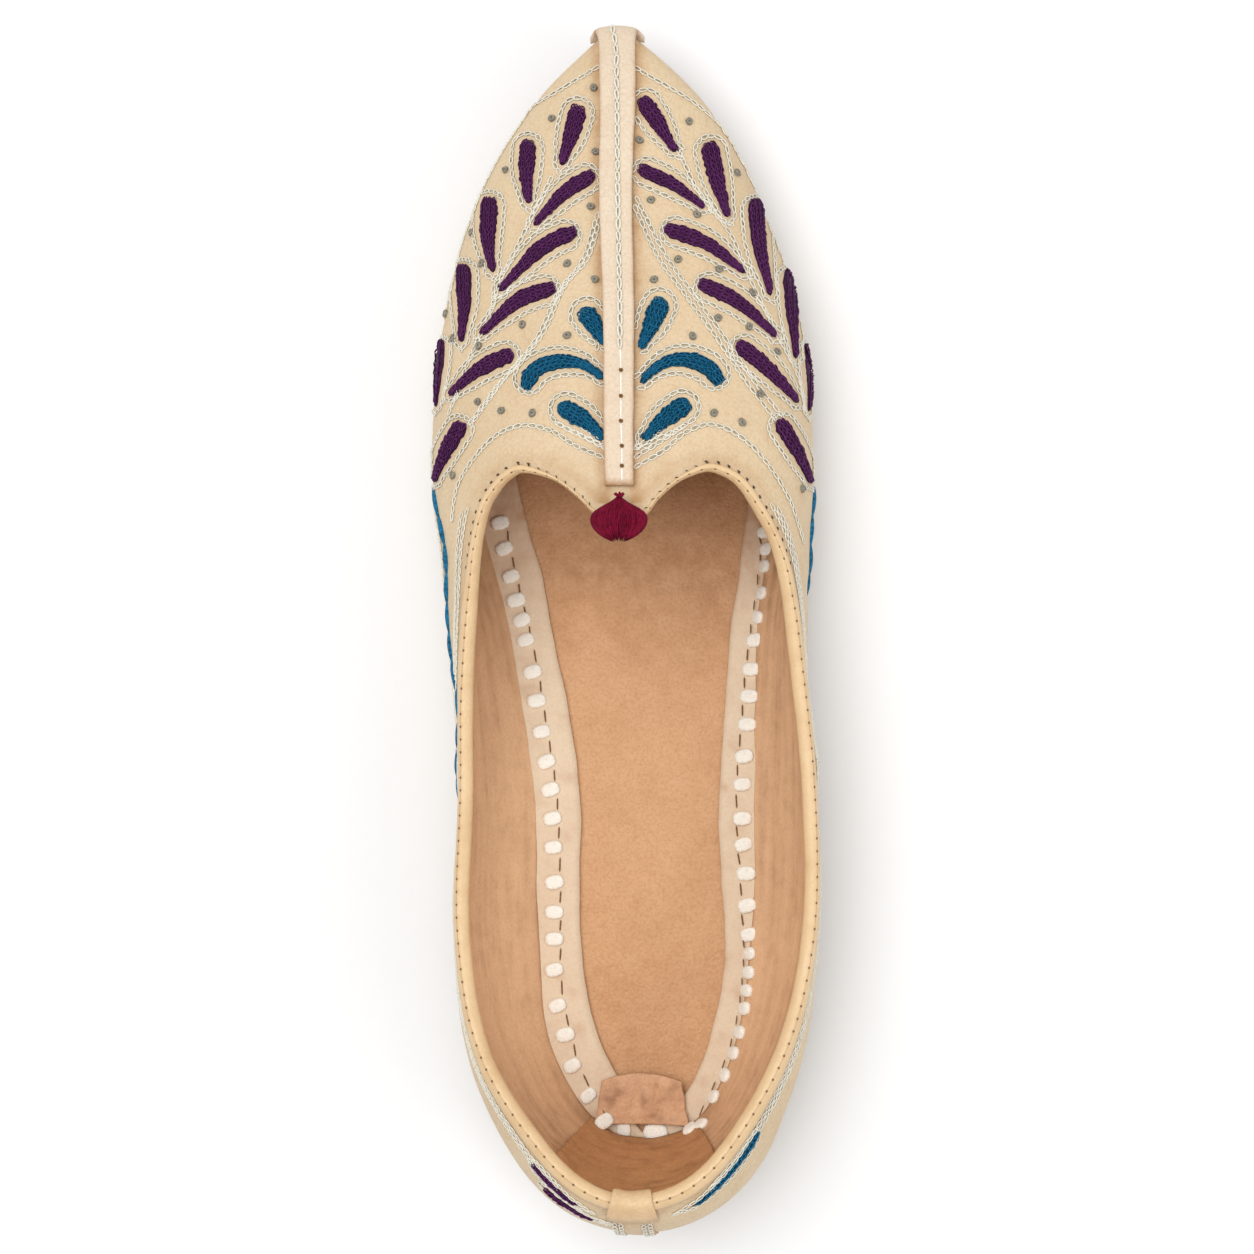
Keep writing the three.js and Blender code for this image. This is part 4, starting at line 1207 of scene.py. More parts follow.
def build_pad():
    bm = bmesh.new()
    centre_y = BACK_Y + HEEL_CENTRE
    level = seat_at(centre_y) + INSOLE_THICKNESS + 2 * CLEARANCE + BAND_THICKNESS * 1.3

    def place(u, w):
        across = 2 * w - 1
        half = PAD_WIDTH / 2 * (1 - 0.14 * u) + 0.25 * noise.noise(Vector((u * 4, across, 0)))
        x = half * across
        y = BACK_Y + PAD_BACK + PAD_LENGTH * (1 - 0.16 * across**2) * u
        away = max(0, math.hypot(x, y - centre_y) - HEEL_CENTRE * 0.44)
        crease = 0.22 * math.sin(x * 1.1 + 2.2 * noise.noise(Vector((x / 5, y / 5, 4))))
        crease += 0.25 * noise.noise(Vector((x / 3, y / 6, 7)))
        edge = min(1, 4 * min(u, 1 - u, w, 1 - w) + 0.2)
        return Vector((x, y, level + PAD_THICKNESS + 0.09 * away**2 + crease * edge - 0.4 * (1 - edge)))

    lay_sheet(bm, 30, 50, place)
    face_toward(bm, Vector((0, 0, 500)))
    remember("pad", bm)

    def stain(spot):
        return min(1, 0.1 + 0.6 * max(0, noise.noise(spot / 2.2)) + 0.3 * max(0, noise.noise(spot / 6)))

    finish = leather("worn pad", colour_of("pad"), linear(132, 92, 66), 0.55, 0.45, 700, 0.4)
    obj = seal_piece(bm, "Heel pad", [finish], ("heel_pad",), stain=stain)
    thicken(obj, PAD_THICKNESS)


def width_station(width):
    station = 0.01
    for _ in range(12):
        station *= width / 2 / abs(outline(RIGHT, station).x)
    return station


BACK_EDGE = girth_at_height(LEFT, 0, BACK_HEIGHT)
BACK_GIRTH_MM = (surface(RIGHT, 0, BACK_EDGE) - surface(RIGHT, 0, BACK_EDGE - 0.05)).length / 0.05


def down_back(millimetres):
    return BACK_EDGE - millimetres / BACK_GIRTH_MM


def back_patch(width, low, high, inset, columns, rows, wave=0.0):
    """A skin on the heel's back wall, laid out across its centre."""
    bm = bmesh.new()
    reach = width_station(width)

    def place(u, w):
        station = (2 * u - 1) * reach
        girth = low + (high - low) * w
        spot = surface(RIGHT, station, girth, inset)
        return surface(RIGHT, station, girth, inset + wave * noise.noise(spot / 5))

    lay_sheet(bm, columns, rows, place, (width, (high - low) * BACK_GIRTH_MM))
    bmesh.ops.remove_doubles(bm, verts=bm.verts[:], dist=MERGE)
    return bm


LOOSE_THICKNESS = 0.6
LINING_SAG = 2.4
LINING_END = 0.61
LINING_TUCK = 2.4


def edge_girth(side, station):
    """The collar's girth at a station."""
    knots = collar_run(side)
    row = next(index for index, knot in enumerate(knots) if knot[0] > abs(station))
    start, end = knots[row - 1], knots[row]
    return start[1] + (end[1] - start[1]) * (abs(station) - start[0]) / (end[0] - start[0])


def lining_spot(side, station, girth, up, inset=0.0):
    """A spot of the loose lining between its foot on the band, 0, and the rim, 1."""
    if station < 0:
        side, station = -side, -station
    out = follow(LINING_FEET, column_of(side), station)
    foot = foot_line(side, station, wall_at(station, FLOOR_RISE) + out + inset)
    low = Vector((foot.x, foot.y, seat_at(foot.y) + FLOOR_RISE + BAND_THICKNESS + 0.4))
    top = surface(side, station, girth, WALL + CLEARANCE + inset)
    sag = inward(side, station) * LINING_SAG * math.sin(math.pi * up) * ease(station, 0.02, 0.2)
    return low.lerp(top, up) - Vector((sag.x, sag.y, 0))


def build_lining():
    bm = bmesh.new()
    halves = {}
    for side in (LEFT, RIGHT):
        run = [knot for knot in collar_run(side) if along_of(knot[0]) < LINING_END]
        halves[side] = [(side, station, girth) for station, girth in run]
    places = [*halves[LEFT][::-1], *halves[RIGHT][1:]]

    def place(u, w):
        side, station, girth = places[round(u * (len(places) - 1))]
        top = girth - LINING_TUCK / GIRTH_MM
        top += (0.42 - top) * ease(along_of(station), 0.47, 0.6)
        spot = lining_spot(side, station, top, w)
        wave = noise.noise(Vector((spot.x / 9, spot.y / 9, spot.z / 4)))
        return spot + inward(side, station).to_3d() * 0.3 * wave

    lay_sheet(bm, len(places) - 1, 36, place)
    bmesh.ops.remove_doubles(bm, verts=bm.verts[:], dist=MERGE)
    face_toward(bm, Vector((0, 60, 60)))
    remember("lining", bm)

    def stain(spot):
        streak = noise.noise(Vector((spot.y / 34, spot.x / 70, spot.z / 1.7)))
        fine = noise.noise(Vector((spot.y / 20, spot.x / 50, spot.z / 0.8)))
        # Painted shade toward the front, under the vamp, and toward the heel
        shade = 0.5 * ease(spot.y, 92, 126) + 0.3 * ease(-spot.y, 4, 20)
        return min(1, max(0, 0.06 + 0.3 * streak + 0.2 * fine + shade))

    obj = seal_piece(bm, "Side lining", [lining_leather()], stain=stain)
    thicken(obj, LOOSE_THICKNESS)


COUNTER_REACH = 52
COUNTER_LOW = 0.04
COUNTER_HIGH = 0.94


def build_counter():
    bm = bmesh.new()
    reach = width_station(COUNTER_REACH)
    top = LINING_TUCK / GIRTH_MM

    def place(u, w):
        station = (2 * u - 1) * reach
        side = RIGHT if station >= 0 else LEFT
        up = COUNTER_LOW + (COUNTER_HIGH - COUNTER_LOW) * w
        spot = lining_spot(RIGHT, station, edge_girth(side, station) - top, up, LINING_THICKNESS)
        return spot + Vector((0, 0.3 * noise.noise(spot / 5), 0))

    lay_sheet(bm, 60, 44, place)
    face_toward(bm, Vector((0, 20, 30)))
    remember("counter", bm)

    def stain(spot):
        return 0.08 + 0.4 * max(0, noise.noise(Vector((spot.x / 12, spot.y / 9, spot.z / 1.6))))

    finish = leather("brown lining", colour_of("counter"), linear(110, 70, 40), 0.65, 0.4, 700, 0.6)
    obj = seal_piece(bm, "Counter lining", [finish], ("counter_lining",), stain=stain)
    thicken(obj, LINING_THICKNESS / 2)


BACKSTAY_LIFT = 0.5


def build_backstay():
    high = down_back(BINDING_LEG + 1)
    bm = back_patch(BACKSTAY_WIDTH, 0.02, high, -BACKSTAY_LIFT, 16, 60, 0.1)
    face_toward(bm, Vector((0, 20, 30)), away=True)
    remember("backstay", bm)

    def stain(spot):
        return 0.25 + 0.4 * noise.noise(spot / 6) + 0.5 * math.exp(-(((abs(spot.x) - 4.9) / 0.7) ** 2))

    obj = seal_piece(bm, "Backstay", [ivory_leather()], ("backstay",), stain=stain)
    thicken(obj, BACKSTAY_LIFT)


# The rolled binding and the wrap at the heel

WALL_MIDDLE = WALL / 2


def surface_axes(place):
    side, station, girth = place
    step = 0.002

    def middle(at_station, at_girth):
        return surface(side, at_station, at_girth, WALL_MIDDLE)

    along = (middle(station + step, girth) - middle(station - step, girth)) / (2 * step)
    up = (middle(station, girth + step) - middle(station, girth - step)) / (2 * step)
    normal = along.cross(up).normalized()
    return along, up, -normal if side == LEFT else normal


def step_away(place, direction, distance):
    """The place a distance away from another, in a direction on the surface."""
    side, station, girth = place
    along, up, _ = surface_axes(place)
    ss, sg, gg = along.dot(along), along.dot(up), up.dot(up)
    ds = direction.dot(along) * distance
    dg = direction.dot(up) * distance
    size = ss * gg - sg * sg
    return side, station + (gg * ds - sg * dg) / size, girth + (ss * dg - sg * ds) / size


def fold_ring(place, tangent, leg, gap, thickness, corner, inner_crown, outer_crown, swell=0.0):
    """One section of a strip folded over the edge: outer leg, crown, inner leg and back inside."""
    _, _, normal = surface_axes(place)
    into = normal.cross(tangent).normalized()
    foot = step_away(place, into, leg)
    half_way = step_away(place, into, leg * 0.5)
    middle = surface(*place, WALL_MIDDLE)
    near = WALL_MIDDLE + gap
    far = near + thickness + swell

    def at(out, beyond):
        return middle + normal * out - into * beyond

    lift = corner * 0.3
    crown = [
        at(math.cos(angle) * far, lift + math.sin(angle) * (outer_crown - lift + swell * 0.5))
        for angle in steps(0, math.pi, 10)
    ]
    return [
        surface(*foot, -gap - thickness * 0.75),
        surface(*half_way, -gap - thickness - swell * 0.4),
        *crown,
        surface(*half_way, WALL + gap + thickness),
        surface(*foot, WALL + gap + thickness * 0.75),
        surface(*foot, WALL + gap),
        at(-near, corner),
        at(0, inner_crown),
        at(near, corner),
        surface(*foot, -gap),
    ]


def rim_frames():
    """Places round the whole opening, with the direction along the rim."""
    left = rim_places(LEFT)
    right = rim_places(RIGHT)[::-1][1:-1]
    places = [*left, *right]
    spots = [surface(*place, WALL_MIDDLE) for place in places]
    frames = []
    for index, place in enumerate(places):
        heading = spots[(index + 1) % len(places)] - spots[index - 1]
        frames.append((place, heading.normalized(), spots[index]))
    return frames


RIM_LEG = 2.1
RIM_GAP = 0.06
RIM_THICKNESS = 0.6
RIM_CROWN = 1.05
LOBE_RIM = 0.48
TONGUE_RIM = 0.2


def rim_size(place):
    """The rolled rim's size: full along the sides, slim round the lobes and least on the tongue."""
    side, station, girth = place
    front = LOBE_SIDE[-1]
    turn = girth_at_reach(side, station_of(front[0]), front[column_of(side)])
    along = along_of(station)
    slim = 1 - (1 - LOBE_RIM) * ease(along, 0.5, 0.57)
    return slim - (LOBE_RIM - TONGUE_RIM) * ease(girth, turn, turn + 0.1) * ease(along, 0.55, 0.57)


def rim_fold(place):
    """The fold's leg, gap, thickness, corner, inner crown and outer crown at a place of the rim."""
    size = rim_size(place)
    thickness = RIM_THICKNESS * (0.4 + 0.6 * size)
    return (RIM_LEG * size, RIM_GAP, thickness, 0.1, 0.1, RIM_CROWN * (0.25 + 0.75 * size))


def build_binding():
    bm = bmesh.new()
    rings = []
    for place, tangent, spot in rim_frames():
        gather = 0.07 * noise.noise(spot / 1.1) * (1 if along_of(place[1]) > 0.54 else 0.3)
        swell = 0.08 * noise.noise(spot / 4) + gather
        rings.append(fold_ring(place, tangent, *rim_fold(place), swell=swell))
    rings.append(rings[0])
    gone = [0]
    for here, after in zip(rings, rings[1:]):
        gone.append(gone[-1] + (after[6] - here[6]).length)
    across = [0]
    for here, after in zip(rings[5], rings[5][1:] + rings[5][:1]):
        across.append(across[-1] + (after - here).length)
    lay_rings(bm, rings)
    layer = map_of(bm)
    for face in bm.faces:
        for loop in face.loops:
            u, w = loop[layer].uv
            loop[layer].uv = (gone[round(u * (len(rings) - 1))], across[round(w * len(rings[0]))])
    remember("binding", bm)

    def stain(spot):
        return 0.1 + 0.35 * max(0, noise.noise(spot / 5))

    finish_piece(bm, "Collar binding", [rim_leather()], ("collar_binding",), stain=stain)


def build_wrap():
    bm = bmesh.new()
    reach = width_station(WRAP_WIDTH)

    def edge_place(station):
        return RIGHT, station, edge_girth(RIGHT, station)

    crown = RIM_CROWN + 0.2
    fold = (WRAP_LEG, 2 * RIM_GAP + RIM_THICKNESS, WRAP_THICKNESS, 0.8, crown, crown + WRAP_THICKNESS)
    rings = []
    for station in steps(reach, -reach, 40):
        before = surface(*edge_place(station + 0.004), WALL_MIDDLE)
        after = surface(*edge_place(station - 0.004), WALL_MIDDLE)
        pinch = min(1, (reach - abs(station)) / reach * 8)
        swell = 0.15 * noise.noise(before / 3) - 0.35 * (1 - pinch)
        rings.append(fold_ring(edge_place(station), (after - before).normalized(), *fold, swell=swell))
    lay_rings(bm, rings, (WRAP_WIDTH, 20))
    close_ends(bm)

    def stain(spot):
        return 0.2 + 0.4 * max(0, noise.noise(spot / 2.5))

    finish = leather("wrap leather", colour_of("rim"), linear(176, 132, 88), 0.5, 0.35, 1000, 0.6)
    finish_piece(bm, "Heel wrap", [finish], ("heel_wrap",), stain=stain)


# The strap along the toe

STRAP_START = 0.614
STRAP_DROP = 0.7
STRAP_CUT = 132.6
STRAP_COLUMNS = 110
FOOT_COLUMNS = 12


def strap_ring(place, way):
    half = strap_half_width(way)
    under = surface(*place, -CLEARANCE)
    over = surface(*place, -CLEARANCE - STRAP_THICKNESS)
    out = (over - under).normalized()
    width = abs(outline(RIGHT, place[1]).x - outline(LEFT, place[1]).x)
    sag = min(STRAP_DROP, half**2 / (2.4 * (width / 2 + STRAP_THICKNESS)))
    half += 0.12 * noise.noise(Vector((over.y / 7, 0, 0)))

    def at(base, share, lower):
        return base + Vector((share * half, 0, 0)) - out * lower

    ring = [at(under, share, sag * share**2) for share in steps(-1, 1, 6)]
    edge = [(1.01, 0.75), (1.01, 0.45), (0.985, 0.2), (0.93, 0.05)]
    for share, drop in edge:
        ring.append(at(over, share, sag + drop * STRAP_THICKNESS * 0.6))
    for share in steps(0.84, -0.84, 12):
        ring.append(at(over, share, sag * share**2))
    for share, drop in reversed(edge):
        ring.append(at(over, -share, sag + drop * STRAP_THICKNESS * 0.6))
    return ring


def build_strap():
    bm = bmesh.new()
    rings = []
    ridge_stations = steps(station_of(STRAP_START), 1, STRAP_COLUMNS)
    for index, station in enumerate(ridge_stations[:-1]):
        rings.append(strap_ring((LEFT, station, 1), NOSE_WAY * index / STRAP_COLUMNS))
    for share in steps(0, 1, FOOT_COLUMNS):
        rings.append(strap_ring((LEFT, 1, LOW_SHARE * (1 - share)), NOSE_WAY + (1 - NOSE_WAY) * share))
    lay_rings(bm, rings, (130, 24))
    close_ends(bm)
    bmesh.ops.recalc_face_normals(bm, faces=bm.faces[:])
    remember("strap", bm)

    def stain(spot):
        beside = beside_strap(spot, way_at(spot.y))
        # Painted shadow: a dark line across the strap's end; the strap's edges are darker too
        end_shadow = 0.8 * math.exp(-(((spot.y - STRAP_CUT) / 0.8) ** 2))
        return min(1, 0.7 * math.exp(-((beside / 0.5) ** 2)) + end_shadow + 0.12 * max(0, noise.noise(spot / 5)))

    finish = leather("strap leather", colour_of("strap"), linear(178, 128, 84), 0.55, 0.42, 1000, 0.3)
    finish_piece(bm, "Toe strap", [finish], ("toe_strap",), stain=stain)


# The tassel on the tongue

KNOT_ALONG = 0.606


def tassel_place():
    seat = ridge(station_of(KNOT_ALONG), 0)
    tip = ridge(station_of(TONGUE_SIDE[-1][0]), 0)
    tilt = math.atan2(seat.z - tip.z, seat.y - tip.y)
    lifted = Matrix.Translation((seat.x, seat.y, seat.z + CLEARANCE + KNOT_RADIUS))
    return lifted @ Matrix.Rotation(tilt, 4, "X")


# The tassel's outline from its tuft down: distance and half width, in mm
TASSEL_OUTLINE = (
    (0, 0.3),
    (1.2, 1.6),
    (2.4, 3.7),
    (3.6, 5.5),
    (5, 6.2),
    (6.5, 6),
    (8, 5),
    (9.4, 3.3),
    (10.4, 1.2),
)
TASSEL_REACH = TASSEL_OUTLINE[-1][0]
TASSEL_DEPTH = 2.1
STRAND_LAYERS = (0.55, 0.8, 1)
STRAND_RADII = (0.12, 0.18)
TUFT_STRANDS = 18
TUFT_RADIUS = 0.24


def tassel_strand(place, turn, deep, length, rng):
    """A run along the tassel's skin: turn goes from its left side to its right side."""
    phase = rng.uniform(0, 6)
    wave = rng.uniform(0.03, 0.09)
    run = []
    for way in steps(0, length, 14):
        half = follow(TASSEL_OUTLINE, 1, way * TASSEL_REACH)
        angle = turn + wave * math.sin(5 * way + phase) * way
        round_off = math.sqrt(max(0.05, 1 - max(0, way - 0.55) ** 2 / 0.22))
        high = deep * TASSEL_DEPTH * math.cos(angle) * min(1, 0.35 + 0.16 * half) * round_off
        spot = Vector((half * math.sin(angle), -way * TASSEL_REACH, high))
        normal = Vector((math.sin(angle), 0, math.cos(angle)))
        run.append((place @ spot, (place.to_3x3() @ normal).normalized()))
    return run


def build_tassel():
    bm = bmesh.new()
    rng = random.Random(7)
    count = bpy.context.scene.mojari_sizes.strand_count
    place = tassel_place()
    for deep in STRAND_LAYERS:
        for index in range(count):
            share = 2 * (index + rng.uniform(0.2, 0.8)) / count - 1
            turn = 0.52 * math.pi * share
            run = tassel_strand(place, turn, deep * rng.uniform(0.93, 1.05), rng.uniform(0.93, 1.0), rng)
            lay_cord(bm, run, rng.uniform(*STRAND_RADII), 5)
    for _ in range(TUFT_STRANDS):
        angle = rng.uniform(0.1, 0.9) * math.pi
        reach = rng.uniform(0.9, 1.7)
        run = []
        for way in steps(0, 1, 6):
            spot = Vector((math.cos(angle) * reach * way, -0.6 + math.sin(angle) * reach * way,
                           0.9 + 0.5 * math.sin(math.pi * way)))
            run.append((place @ spot, place.to_3x3() @ Vector((0, 0, 1))))
        lay_cord(bm, run, TUFT_RADIUS, 5)

    finish = thread("crimson silk", colour_of("crimson"), linear(70, 0, 24), (0.5, 3, 1), 1.0, 0.6, 0.0,
                    glint=0.1)
    finish_piece(bm, "Tassel", [finish], ("tassel",), merge=THREAD_MERGE)


# Embroidery, as marks of the photograph: a leaf runs from its fat end to its thin end,
# and the last number is its full width

PURPLE_LEAVES = (
    (((379, 101), (371, 130), (361, 160)), 18),
    (((394, 169), (364, 188), (333, 220)), 15),
    (((377, 226), (341, 243), (298, 286)), 16),
    (((355, 282), (317, 296), (279, 330)), 16),
    (((313, 348), (279, 364), (248, 390)), 16),
    (((262, 418), (245, 446), (232, 478)), 15),
    (((328, 135), (326, 165), (328, 198)), 17),
    (((289, 191), (287, 230), (292, 267)), 17),
    (((262, 258), (263, 298), (260, 337)), 15),
    (((240, 334), (237, 368), (234, 402)), 8),
    (((442, 94), (459, 120), (476, 148)), 17),
    (((439, 164), (474, 181), (505, 204)), 14),
    (((465, 224), (508, 241), (546, 270)), 15),
    (((499, 279), (540, 300), (577, 334)), 15),
    (((537, 340), (568, 366), (599, 400)), 16),
    (((578, 417), (596, 446), (612, 481)), 14),
    (((509, 139), (517, 176), (528, 214)), 18),
    (((555, 195), (560, 245), (571, 293)), 15),
    (((589, 265), (592, 310), (596, 356)), 12),
    (((608, 340), (610, 375), (609, 409)), 7),
)
TEAL_LEAVES = (
    (((384, 306), (395, 322), (405, 340)), 19),
    (((462, 296), (452, 320), (441, 344)), 20),
    (((324, 385), (334, 366), (358, 357), (384, 361), (405, 375)), 16),
    (((521, 381), (508, 364), (482, 356), (460, 362), (440, 379)), 16),
    (((360, 402), (384, 416), (406, 436)), 19),
    (((489, 400), (464, 416), (443, 437)), 19),
)

# Lines of silver chain

BORDER_LINES = (
    ((396, 63), (360, 84), (329, 103), (312, 124), (292, 156), (274, 192), (258, 232),
     (248, 270), (240, 310)),
    ((437, 64), (460, 78), (490, 96), (516, 118), (538, 145), (558, 180), (575, 220),
     (589, 262), (598, 300)),
    ((350, 175), (335, 205), (320, 235), (300, 275), (288, 312), (270, 350), (257, 386), (246, 412)),
    ((480, 150), (500, 190), (530, 230), (552, 280), (576, 330), (597, 372), (606, 412)),
    ((402, 205), (388, 252), (364, 282), (341, 331), (303, 375), (273, 416)),
    ((397, 212), (382, 257), (358, 288), (335, 336), (298, 380), (268, 420)),
    ((436, 205), (458, 252), (487, 293), (511, 326), (546, 378), (575, 416)),
    ((438, 196), (464, 248), (493, 290), (517, 323), (552, 375), (582, 413)),
    ((407, 455), (376, 442), (352, 427), (323, 421), (297, 430), (273, 454), (256, 483), (250, 521)),
    ((407, 445), (380, 431), (356, 419)),
    ((407, 437), (384, 424)),
    ((438, 462), (464, 447), (484, 430), (511, 421), (540, 433), (567, 460), (590, 498), (604, 541)),
    ((438, 452), (462, 437), (486, 421)),
    ((438, 443), (462, 428)),
)
KNOT_MARKS = (
    (394, 83), (352, 113), (396, 147), (305, 164), (391, 202), (271, 227), (367, 259), (281, 258),
    (395, 275), (245, 308), (322, 320), (278, 341), (252, 333), (367, 331), (277, 397), (301, 406),
    (332, 409), (252, 471), (489, 118), (440, 136), (537, 170), (451, 196), (497, 211), (478, 256),
    (519, 266), (454, 276), (552, 290), (518, 315), (549, 324), (493, 333), (577, 349), (560, 391),
    (514, 410), (542, 419), (602, 486),
)

# Where the strap hides the vamp: height in the photograph, left edge and right edge
STRAP_EDGES = (
    (23, 395, 438), (60, 398, 436), (100, 399, 434), (150, 400, 433), (200, 402, 434),
    (300, 405, 435), (420, 407, 436), (484, 409, 437),
)
LEAF_LINK_LENGTH = 2.0
LEAF_LINK_WIDTH = 1.15
LEAF_LINK_THREAD = 0.19
LEAF_GAP = 7
TIP_REACH = 7


def under_strap(mark):
    return follow(STRAP_EDGES, 1, mark[1]) - 1 < mark[0] < follow(STRAP_EDGES, 2, mark[1]) + 1


def half_width(way, full):
    """A leaf's half width, round at its fat end and narrow at its thin end."""
    cap = math.sqrt(max(0, 1 - (1 - min(way / 0.13, 1)) ** 2))
    tip = math.sqrt(max(0, 1 - max(0, (way - 0.93) / 0.07) ** 2))
    return full / 2 * cap * tip * (1 - 0.62 * ease(way, 0.3, 1))


def leaf_line(marks, pieces=44):
    """A leaf's middle line with its directions, as plain pairs."""
    line = [Vector(mark) for mark in curve_marks(marks, 12)]
    lengths = [0]
    for a, b in zip(line, line[1:]):
        lengths.append(lengths[-1] + (b - a).length)
    result = []
    for share in steps(0, 1, pieces):
        due = share * lengths[-1]
        row = max(index for index, gone in enumerate(lengths[:-1]) if gone <= due + SMALL)
        span = lengths[row + 1] - lengths[row]
        spot = line[row].lerp(line[row + 1], (due - lengths[row]) / span)
        heading = (line[min(row + 2, len(line) - 1)] - line[max(row - 1, 0)]).normalized()
        result.append((spot, heading))
    return result


def lay_leaf(bm, drape, marks, full, height, seed, unit):
    """A padded leaf of chained silk; unit is the length in mm of one step of its marks."""
    line = leaf_line(marks)
    count = len(line) - 1
    sides = 18

    def place(u, w):
        index = round(u * count)
        spot, heading = line[index]
        angle = 2 * math.pi * w
        side = math.cos(angle)
        ragged = 1 + 0.22 * noise.noise(Vector((u * 17, seed * 3.7 + (1 if side > 0 else -1), 0)))
        ragged += 0.08 * noise.noise(Vector((u * 60, seed * 1.9 + (2 if side > 0 else -2), 5)))
        half = half_width(u, full) * ragged
        across = Vector((-heading.y, heading.x)) * side * half
        found = drape((spot.x + across.x, spot.y + across.y))
        if found is None:
            found = drape((spot.x, spot.y))
        if found is None:
            raise RuntimeError(f"A leaf leaves the upper at {tuple(spot)}")
        base, normal = found
        share = half_width(u, full) / (full / 2)
        rise = math.sin(angle)
        rough = 1 + 0.14 * noise.noise(Vector((u * 34, w * 9, seed)))
        lift = height * rough * (0.4 + 0.6 * share) * rise if rise > 0 else 0.25 * rise
        return base + normal * (lift * min(1, share * 3))

    length = sum((b[0] - a[0]).length for a, b in zip(line, line[1:])) * unit
    lay_sheet(bm, count, sides, place, (length, full * unit * 2))
    rows = max(2, round(full * unit / 0.95))
    rng = random.Random(seed)
    link = link_template(LEAF_LINK_LENGTH, LEAF_LINK_WIDTH, LEAF_LINK_THREAD, 8, 3, 1)
    for row in range(rows):
        turn = math.acos(0.9 * (1 - (2 * row + 1) / rows)) / (2 * math.pi)
        run = []
        for index in range(2, count - 1):
            spot = place(index / count, turn)
            ahead = place((index + 1) / count, turn) - spot
            across = place(index / count, turn + 0.03) - place(index / count, turn - 0.03)
            run.append((spot, ahead.cross(across).normalized()))
        centre = drape(tuple(line[count // 2][0]))
        aside = -1 if centre and run[len(run) // 2][1].dot(centre[1]) < 0 else 1
        run = [(spot - normal * aside * 0.06, normal * aside) for spot, normal in run]
        for spot, normal, tangent in even_run(run, LEAF_LINK_LENGTH * 0.72):
            size = rng.uniform(0.85, 1.15)
            add_copy(bm, link, stand(spot, tangent, normal, rng.uniform(-0.35, 0.35), size))


def outline_marks(marks, full, gap, reach):
    """The line that runs round a leaf at a gap, open where it meets its tip."""
    line = leaf_line(marks, 24)
    left = []
    right = []
    for index, (spot, heading) in enumerate(line[3:], 3):
        way = index / 24
        away = half_width(min(way, 0.9), full) + gap * (1 - 0.45 * ease(way, 0.6, 1))
        normal = Vector((-heading.y, heading.x)) * away
        left.append(spot + normal)
        right.append(spot - normal)
    centre, heading = line[3]
    radius = (left[0] - centre).length
    back = []
    for angle in steps(math.pi / 2, 1.5 * math.pi, 8)[1:-1]:
        turned = Vector((heading.x * math.cos(angle) - heading.y * math.sin(angle),
                         heading.x * math.sin(angle) + heading.y * math.cos(angle)))
        back.append(centre + turned * radius)
    tip = line[-1][0] + line[-1][1] * reach
    return [tuple(spot) for spot in [tip, *reversed(left), *back, *right, tip]]


def wall_drape(side):
    """Lays marks on a side wall: the way along in mm and the height in mm of girth."""
    def drape(mark):
        station = station_of(min(max(abs(mark[0]) / SHOE_LENGTH, 0), 1))
        spot = surface(side if mark[0] >= 0 else -side, station, mark[1] / GIRTH_MM)
        found, normal, _, _ = TREES["upper"].find_nearest(spot)
        return found, normal
    return drape


# Slivers at the heel: each mark is the way along and the depth below the rim, both in mm
HEEL_LEAVES = (
    ("teal", RIGHT, ((24, 6.4), (11, 6.2), (3.5, 7.2)), 1.7),
    ("purple", LEFT, ((14, 6.6), (9, 6.4), (3.5, 7.2)), 1.7),
    ("purple", LEFT, ((9, 11.6), (5, 11.4), (1.5, 11.8)), 1.5),
)


def wall_leaves():
    """The slivers, with the second number of each mark turned into girth in mm."""
    leaves = []
    for colour, side, marks, full in HEEL_LEAVES:
        rim = [edge_girth(side, station_of(way / SHOE_LENGTH)) * GIRTH_MM for way, _ in marks]
        raised = tuple((way, top - down) for top, (way, down) in zip(rim, marks))
        leaves.append((colour, side, raised, full))
    return leaves


def build_leaves():
    height = size_of("leaf_height")
    for name, marks_of_all in (("purple", PURPLE_LEAVES), ("teal", TEAL_LEAVES)):
        bm = bmesh.new()
        for seed, (marks, full) in enumerate(marks_of_all):
            def drape(mark):
                return cast("upper", mark, 10)
            lay_leaf(bm, drape, marks, full, height, seed, 1 / CHART_SCALE)
        for seed, (colour, side, marks, full) in enumerate(wall_leaves(), 40):
            if colour == name:
                lay_leaf(bm, wall_drape(side), marks, full, height * 0.8, seed, 1)
        label = f"{name.capitalize()} leaves"
        # Padding in the silk with painted shade, links in the silk with the painted highlight
        finish_piece(bm, label, [silk(name), silk(name, True)], merge=SILK_MERGE)


def silk(name, painted_highlight=False):
    """Embroidery silk in two painted copies: the links on top get a painted highlight, lighter than the
    silk's colour, and the padding under them painted shade, darker than it.
    """
    colour = colour_of(name)
    if painted_highlight:
        label = f"{name} silk links"
        light = tuple(min(1, value * 1.3 + 0.008) for value in colour)
        dark = tuple(value * 0.4 for value in colour)
    else:
        label = f"{name} silk"
        light = tuple(value * 0.5 for value in colour)
        dark = tuple(value * 0.15 for value in colour)
    return thread(label, light, dark, (0.9, 2.4, 1), 1.0, 0.6, 0.0, 0.0004, glint=0.2)


def chain_runs():
    """Every line of chain on the upper, as runs of spots and normals."""
    runs = []
    for marks in BORDER_LINES:
        runs += runs_on("upper", curve_marks(marks, 12), under_strap, 6)
    for marks, full in (*PURPLE_LEAVES, *TEAL_LEAVES):
        around = outline_marks(marks, full, LEAF_GAP, TIP_REACH)
        runs += runs_on("upper", curve_marks(around, 3), under_strap, 3)
    return runs


